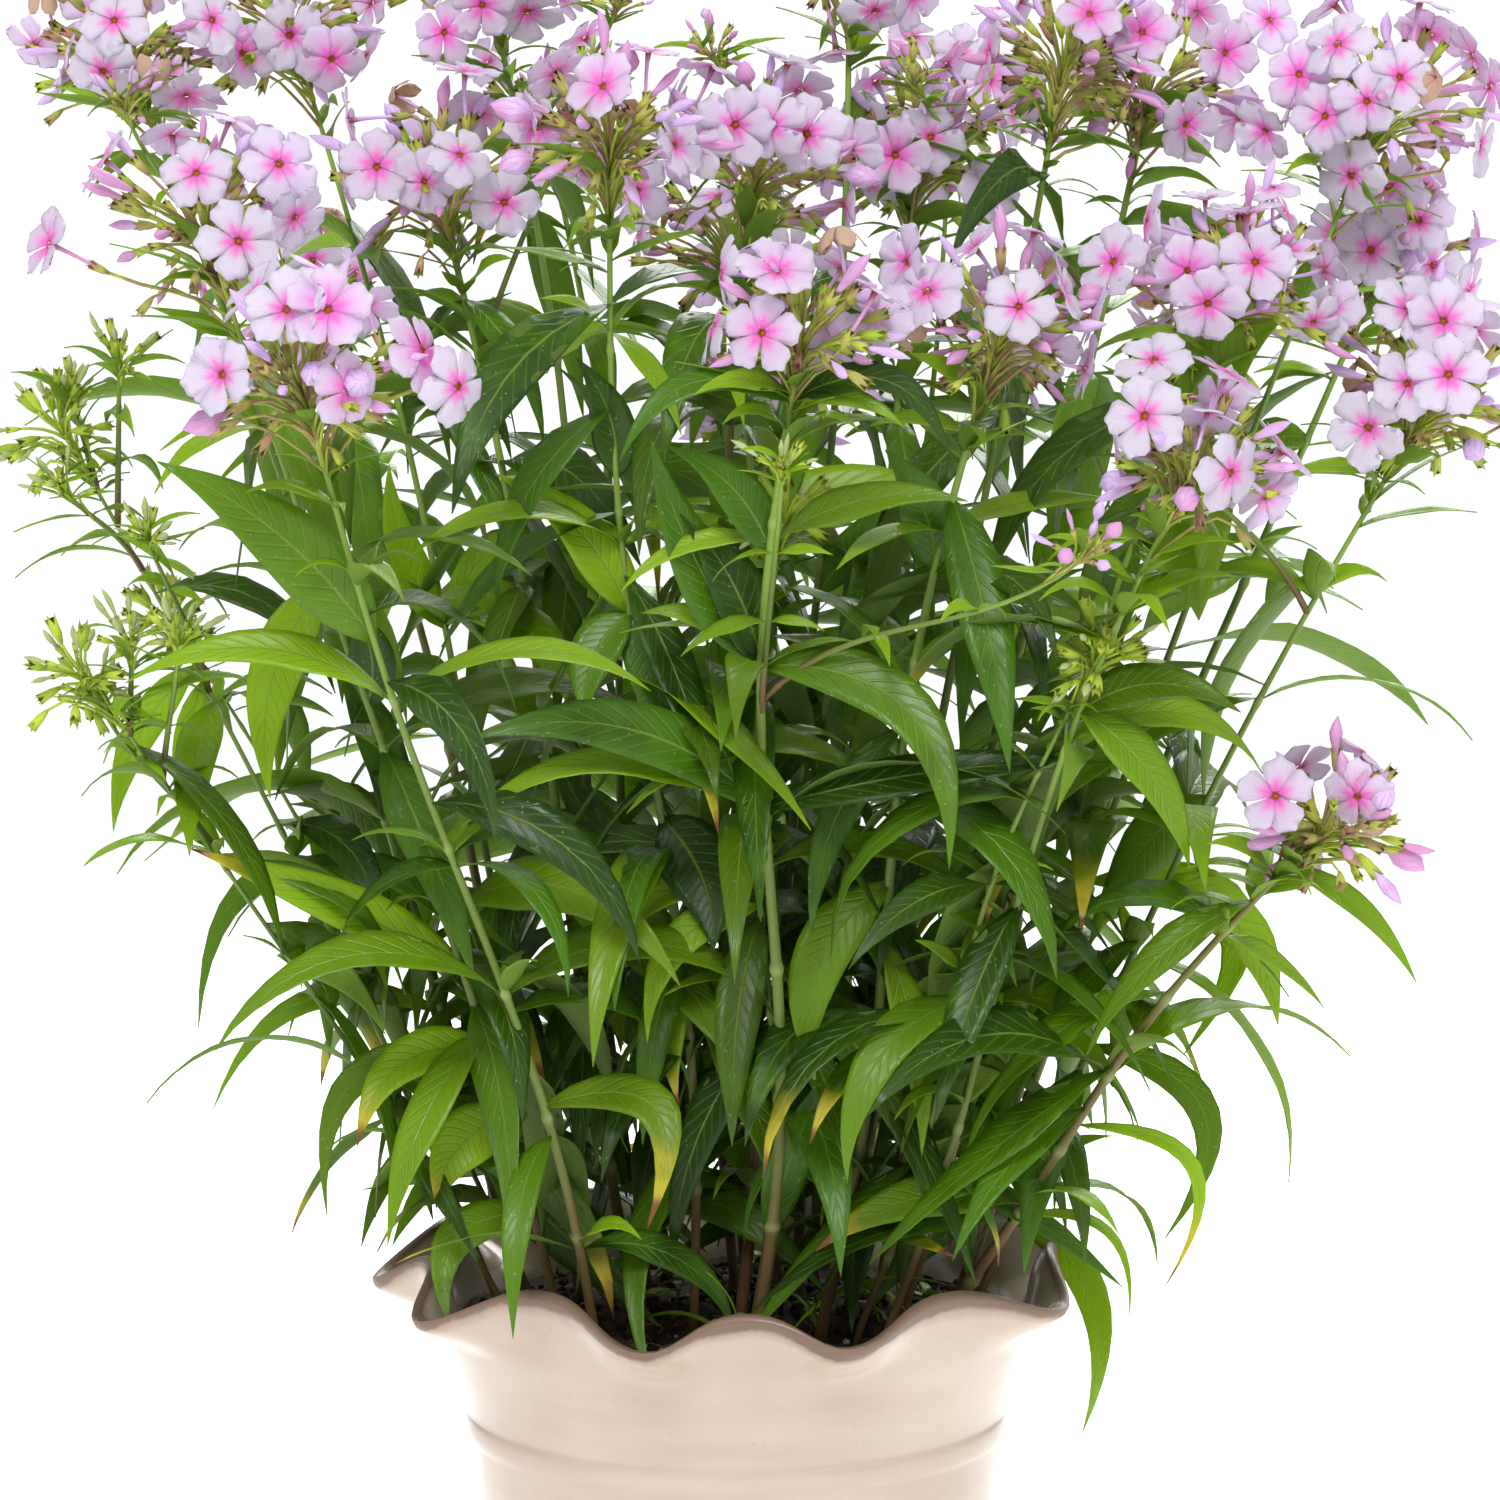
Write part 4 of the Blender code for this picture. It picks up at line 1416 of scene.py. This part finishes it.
# Open flower from its face back to the head's axis
def addFlower(petals, tubes, sprays, axis, face, facing, rng, size=1.0, fade=0.0):
    look = flowerShape
    addPetals(petals, face, facing, size, rng.uniform(0, math.tau), rng, fade, cup=rng.uniform(-0.20, 0.28))
    droop = unit(facing + rng.normal(size=3) * 0.10 + up * 0.12)
    foot = face - droop * look["tube"] * size
    line = bentLine(foot, face - facing * 0.0004, droop, facing, 7)
    radii = look["tubeRadius"] * size * np.array([1.0, 1.0, 0.95, 0.95, 1.05, 1.25, 1.75])
    addTube(tubes, line, radii, (rng.uniform(), 0, 0), sides=6, part=(0, 0, 0, 0, 0, 0, 1))
    addStalkedCalyx(sprays, axis, foot, droop, rng, size, rng.uniform(0.2, 0.9), calyxShape["sunk"], 0.00055)


# Where on the head's axis a stalk begins, and the direction in which it leaves
def axisStart(axis, foot, rng):
    length = np.linalg.norm(axis[1] - axis[0])
    ahead = (axis[1] - axis[0]) / length
    height = (foot - axis[0]).dot(ahead)
    aside = np.linalg.norm(foot - axis[0] - ahead * height)
    place = np.clip(height - 0.55 * aside - rng.uniform(0.002, 0.012), -0.030, length)
    start = axis[0] + ahead * place
    return start, unit(unit(foot - start) + ahead * 0.8)


# Closed bud: a thin tube that swells to a twisted point; a few are fat and about to open
def addBud(tubes, sprays, axis, foot, way, rng, size=1.0, green=0.0):
    length = rng.uniform(0.013, 0.022) * size
    line = bentLine(foot, foot + way * length, way, unit(way + rng.normal(size=3) * 0.15), 8)
    swell = 2.2 if rng.uniform() < 0.15 and not green else rng.uniform(0.8, 1.2)
    widths = [0.6, 0.65, 0.75, 0.85 + 0.25 * swell, 1.55 * swell, 1.75 * swell, 1.2 * swell, 0.15]
    radii = size * 0.001 * np.array(widths)
    addTube(tubes, line, radii, (rng.uniform(), green, 0), sides=6)
    ripe = rng.uniform(0.1, 0.8) * (1 - green)
    addStalkedCalyx(sprays, axis, foot, way, rng, size, ripe, calyxShape["sunk"])


# Calyx, and its stalk back to the head's axis; sunk is how far it covers the flower's foot
def addStalkedCalyx(sprays, axis, foot, way, rng, size, ripe, sunk=0.0, thick=0.00048):
    addCalyx(sprays, foot - way * sunk, way, size, ripe, rng)
    start, leave = axisStart(axis, foot, rng)
    line = bentLine(start, foot, leave, way, 5)
    addTube(sprays, line, np.linspace(thick * 1.25, thick, len(line)), (rng.uniform(), ripe, 0), sides=4)


# Directions spread evenly over all but the underside, each moved a little
def spreadDirections(count, rng):
    result = []
    for index in range(count):
        height = 1 - 1.55 * (index + 0.5) / count
        turn = index * math.pi * (3 - math.sqrt(5)) + rng.uniform(-0.3, 0.3)
        level = math.sqrt(max(1 - height * height, 0))
        result.append(np.array([level * math.cos(turn), level * math.sin(turn), height]))
    return result


# Flowers of the front, by head, as (x, z) in millimetres on the plane through the pot's axis
shownFlowers = {
    1: ((-209, 622), (-185, 597), (-197, 600), (-213, 605), (-176, 622)),
    2: ((-154, 574), (-168, 548), (-149, 556), (-232, 547), (-182, 571)),
    3: ((-152, 525), (-138, 525), (-106, 511), (-174, 503), (-94, 499)),
    4: ((-121, 573), (-105, 568), (-93, 577), (-78, 561), (-66, 587)),
    5: ((-85, 627), (-70, 625), (-98, 618)),
    6: ((-33, 565), (0, 587), (12, 587), (-12, 581), (24, 584)),
    7: ((14, 538), (9, 517)),
    8: ((65, 531), (96, 526), (58, 541)),
    9: ((47, 625), (34, 612), (60, 630)),
    10: ((117, 598), (137, 618), (165, 611), (152, 587), (122, 622), (180, 622)),
    11: ((179, 585), (199, 590), (203, 614), (213, 595), (224, 603), (236, 603), (208, 570), (190, 604)),
    12: ((139, 554), (153, 538), (176, 541), (160, 527), (128, 541)),
    13: ((202, 525), (228, 525), (240, 521), (228, 500), (242, 503), (215, 485)),
    14: ((185, 359),),
    17: ((-150, 617), (-136, 609), (-166, 611)),
    18: ((54, 577), (86, 566), (66, 583)),
    19: ((203, 550), (215, 545), (231, 555), (236, 540), (221, 566)),
    20: ((142, 508), (139, 489)),
}
headShape = {
    "flowers": {"bloom": 14, "sparse": 7, "green": 0},
    "buds": {"bloom": 18, "sparse": 24, "green": 10},
    "calyxes": {"bloom": 26, "sparse": 32, "green": 18},
    "bracts": 13,
    "fadedShare": 0.05,
    "lift": 0.85,
    "clearOf": 0.80,  # cosine within which a placed flower leaves no room for another
    "frontSide": -0.25,
    "frontLeftOut": 0.45,
    "sparse": (14, 15, 16),  # modelled heads with few open flowers left
}


def makeHead(number, top, radius, kind):
    rng = np.random.default_rng(500 + number)
    look = headShape
    lean = stemDirection(top, 1.0)
    top = np.asarray(top, float)
    centre = top + lean * radius * look["lift"]
    axis = (top - lean * 0.004, top + lean * radius * 0.55)
    petals, tubes, sprays, bracts = newBatch(), newBatch(), newBatch(), newBatch()
    spine = np.linspace(axis[0], axis[1], 5)
    addTube(sprays, spine, np.linspace(0.0013, 0.0008, 5), (rng.uniform(), 0.3, 0), sides=7)
    taken = []
    for x, z in shownFlowers.get(number, ()):
        offset = inView(x, z, centre[1] * 1000) - centre
        aside = math.hypot(offset[0], offset[2])
        forward = math.sqrt(max(radius**2 - aside**2, 0.000025))
        face = inView(x, z, (centre[1] - forward * rng.uniform(0.75, 1.05)) * 1000)
        outward = unit(face - centre)
        facing = unit(outward * 0.75 + np.array([0.0, -0.55, 0.10]) + rng.normal(size=3) * 0.27)
        taken.append(outward)
        fade = 0.8 if rng.uniform() < look["fadedShare"] * 0.5 else 0.0
        addFlower(petals, tubes, sprays, axis, face, facing, rng, rng.uniform(0.88, 1.03), fade)
    for direction in spreadDirections(look["flowers"][kind], rng):
        if any(direction.dot(other) > look["clearOf"] for other in taken):
            continue
        front = taken and direction[1] < look["frontSide"]
        if front and rng.uniform() < look["frontLeftOut"]:
            continue
        reach = rng.uniform(0.60, 0.85) if front else rng.uniform(0.82, 1.0)
        face = centre + direction * radius * reach
        facing = unit(direction + rng.normal(size=3) * (0.6 if front else 0.35))
        fade = 0.8 if rng.uniform() < look["fadedShare"] else 0.0
        addFlower(petals, tubes, sprays, axis, face, facing, rng, rng.uniform(0.76, 1.00), fade)
    green = 1.0 if kind == "green" else 0.0
    for direction in spreadDirections(look["buds"][kind], rng):
        way = unit(direction + rng.normal(size=3) * 0.35)
        foot = centre + way * radius * rng.uniform(0.30, 0.68) - up * radius * 0.10
        addBud(tubes, sprays, axis, foot, way, rng, rng.uniform(0.85, 1.25) * (0.6 if green else 1.0), green)
    for direction in spreadDirections(look["calyxes"][kind], rng):
        way = unit(direction + rng.normal(size=3) * 0.45)
        foot = centre + way * radius * rng.uniform(0.25, 0.80) - up * radius * 0.22
        ripe = 0.0 if green else rng.uniform(0.0, 1.0)
        addStalkedCalyx(sprays, axis, foot, way, rng, rng.uniform(0.9, 1.25), ripe)
    for index in range(look["bracts"]):
        turn = index * leafTurn + rng.uniform(0, 0.6)
        base = axis[0] + lean * rng.uniform(-0.02, radius * 0.5)
        length = rng.uniform(0.016, 0.044) * (0.5 if green else 1.0)
        addLeaf(
            bracts, base, turn, length, rng.uniform(0.3, 1.0), rng.uniform(-0.9, 0.4), length * 0.19, rng,
            rng.uniform(0, 0.4), 0.0, small=True,
        )
    replaced = (f"flower_head_{number:02d}",) if number <= len(modelStems) else ()
    if petals["count"]:
        makePiece(f"petals_{number:02d}", petals, petalMaterial, replaced)
    makePiece(f"buds_{number:02d}", tubes, budMaterial)
    makePiece(f"sprays_{number:02d}", sprays, sprayMaterial)
    makePiece(f"bracts_{number:02d}", bracts, leafMaterial)


for number, (top, radius, _, _) in enumerate(modelStems, 1):
    makeHead(number, top, radius, "sparse" if number in headShape["sparse"] else "bloom")
for number, (top, radius, _, kind) in enumerate(moreStems, len(modelStems) + 1):
    makeHead(number, top, radius, kind)
makeSideShoots()
print("flower heads made")
makeSeedlings()


# Stage: a pale floor and soft light from all round, with brighter lights in front and behind
stageLook = {
    "floorRadius": 7.0,
    "floorSides": 64,
    "floor": (0.97, 0.97, 0.97),
    "floorShade": (0.94, 0.94, 0.94),
    "floorGlow": 0.45,
    "world": 0.66,
    "backdrop": 1.10,
    "lights": (
        # name, place, size, power
        ("keyLight", (-0.25, -1.5, 1.9), 0.7, 30.0),
        ("fillLight", (1.4, -1.0, 1.1), 1.0, 4.0),
        ("backLight", (0.3, 1.5, 1.4), 1.2, 34.0),
    ),
}


def makeFloor():
    look = stageLook
    made, tree = newMaterial("paleFloor")
    where = objectPlace(tree)
    color = tinted(tree, look["floor"], noiseAt(tree, where, 3.0), 0.5, look["floorShade"])
    glow = {"Emission Color": color, "Emission Strength": look["floorGlow"]}
    finishMaterial(tree, color, 0.9, 0.1, more=glow)
    steps = look["floorSides"]
    turn = fullTurn(steps)
    ring = np.stack((np.cos(turn), np.sin(turn), np.zeros(steps)), axis=1) * look["floorRadius"]
    mesh = bpy.data.meshes.new("floor")
    mesh.from_pydata(ring.tolist(), [], [list(range(steps))])
    mesh.materials.append(made)
    floor = bpy.data.objects.new("floor", mesh)
    bpy.context.scene.collection.objects.link(floor)


def makeLights():
    for name, place, size, power in stageLook["lights"]:
        data = bpy.data.lights.new(name, "AREA")
        data.size = size
        data.energy = power
        light = bpy.data.objects.new(name, data)
        light.location = place
        light.rotation_euler = (Vector((0, 0, 0.35)) - Vector(place)).to_track_quat("-Z", "Y").to_euler()
        bpy.context.scene.collection.objects.link(light)
    world = bpy.data.worlds.new("studio")
    world.use_nodes = True
    tree = world.node_tree
    tree.nodes.clear()
    seen = addNode(tree, "ShaderNodeLightPath").outputs["Is Camera Ray"]
    extra = times(tree, seen, stageLook["backdrop"] - stageLook["world"])
    strength = plus(tree, extra, stageLook["world"])
    background = addNode(tree, "ShaderNodeBackground", {"Color": (1.0, 1.0, 1.0, 1.0), "Strength": strength})
    addNode(tree, "ShaderNodeOutputWorld", {"Surface": background.outputs[0]})
    bpy.context.scene.world = world
    bpy.context.scene.view_settings.view_transform = "Standard"


makeFloor()
makeLights()
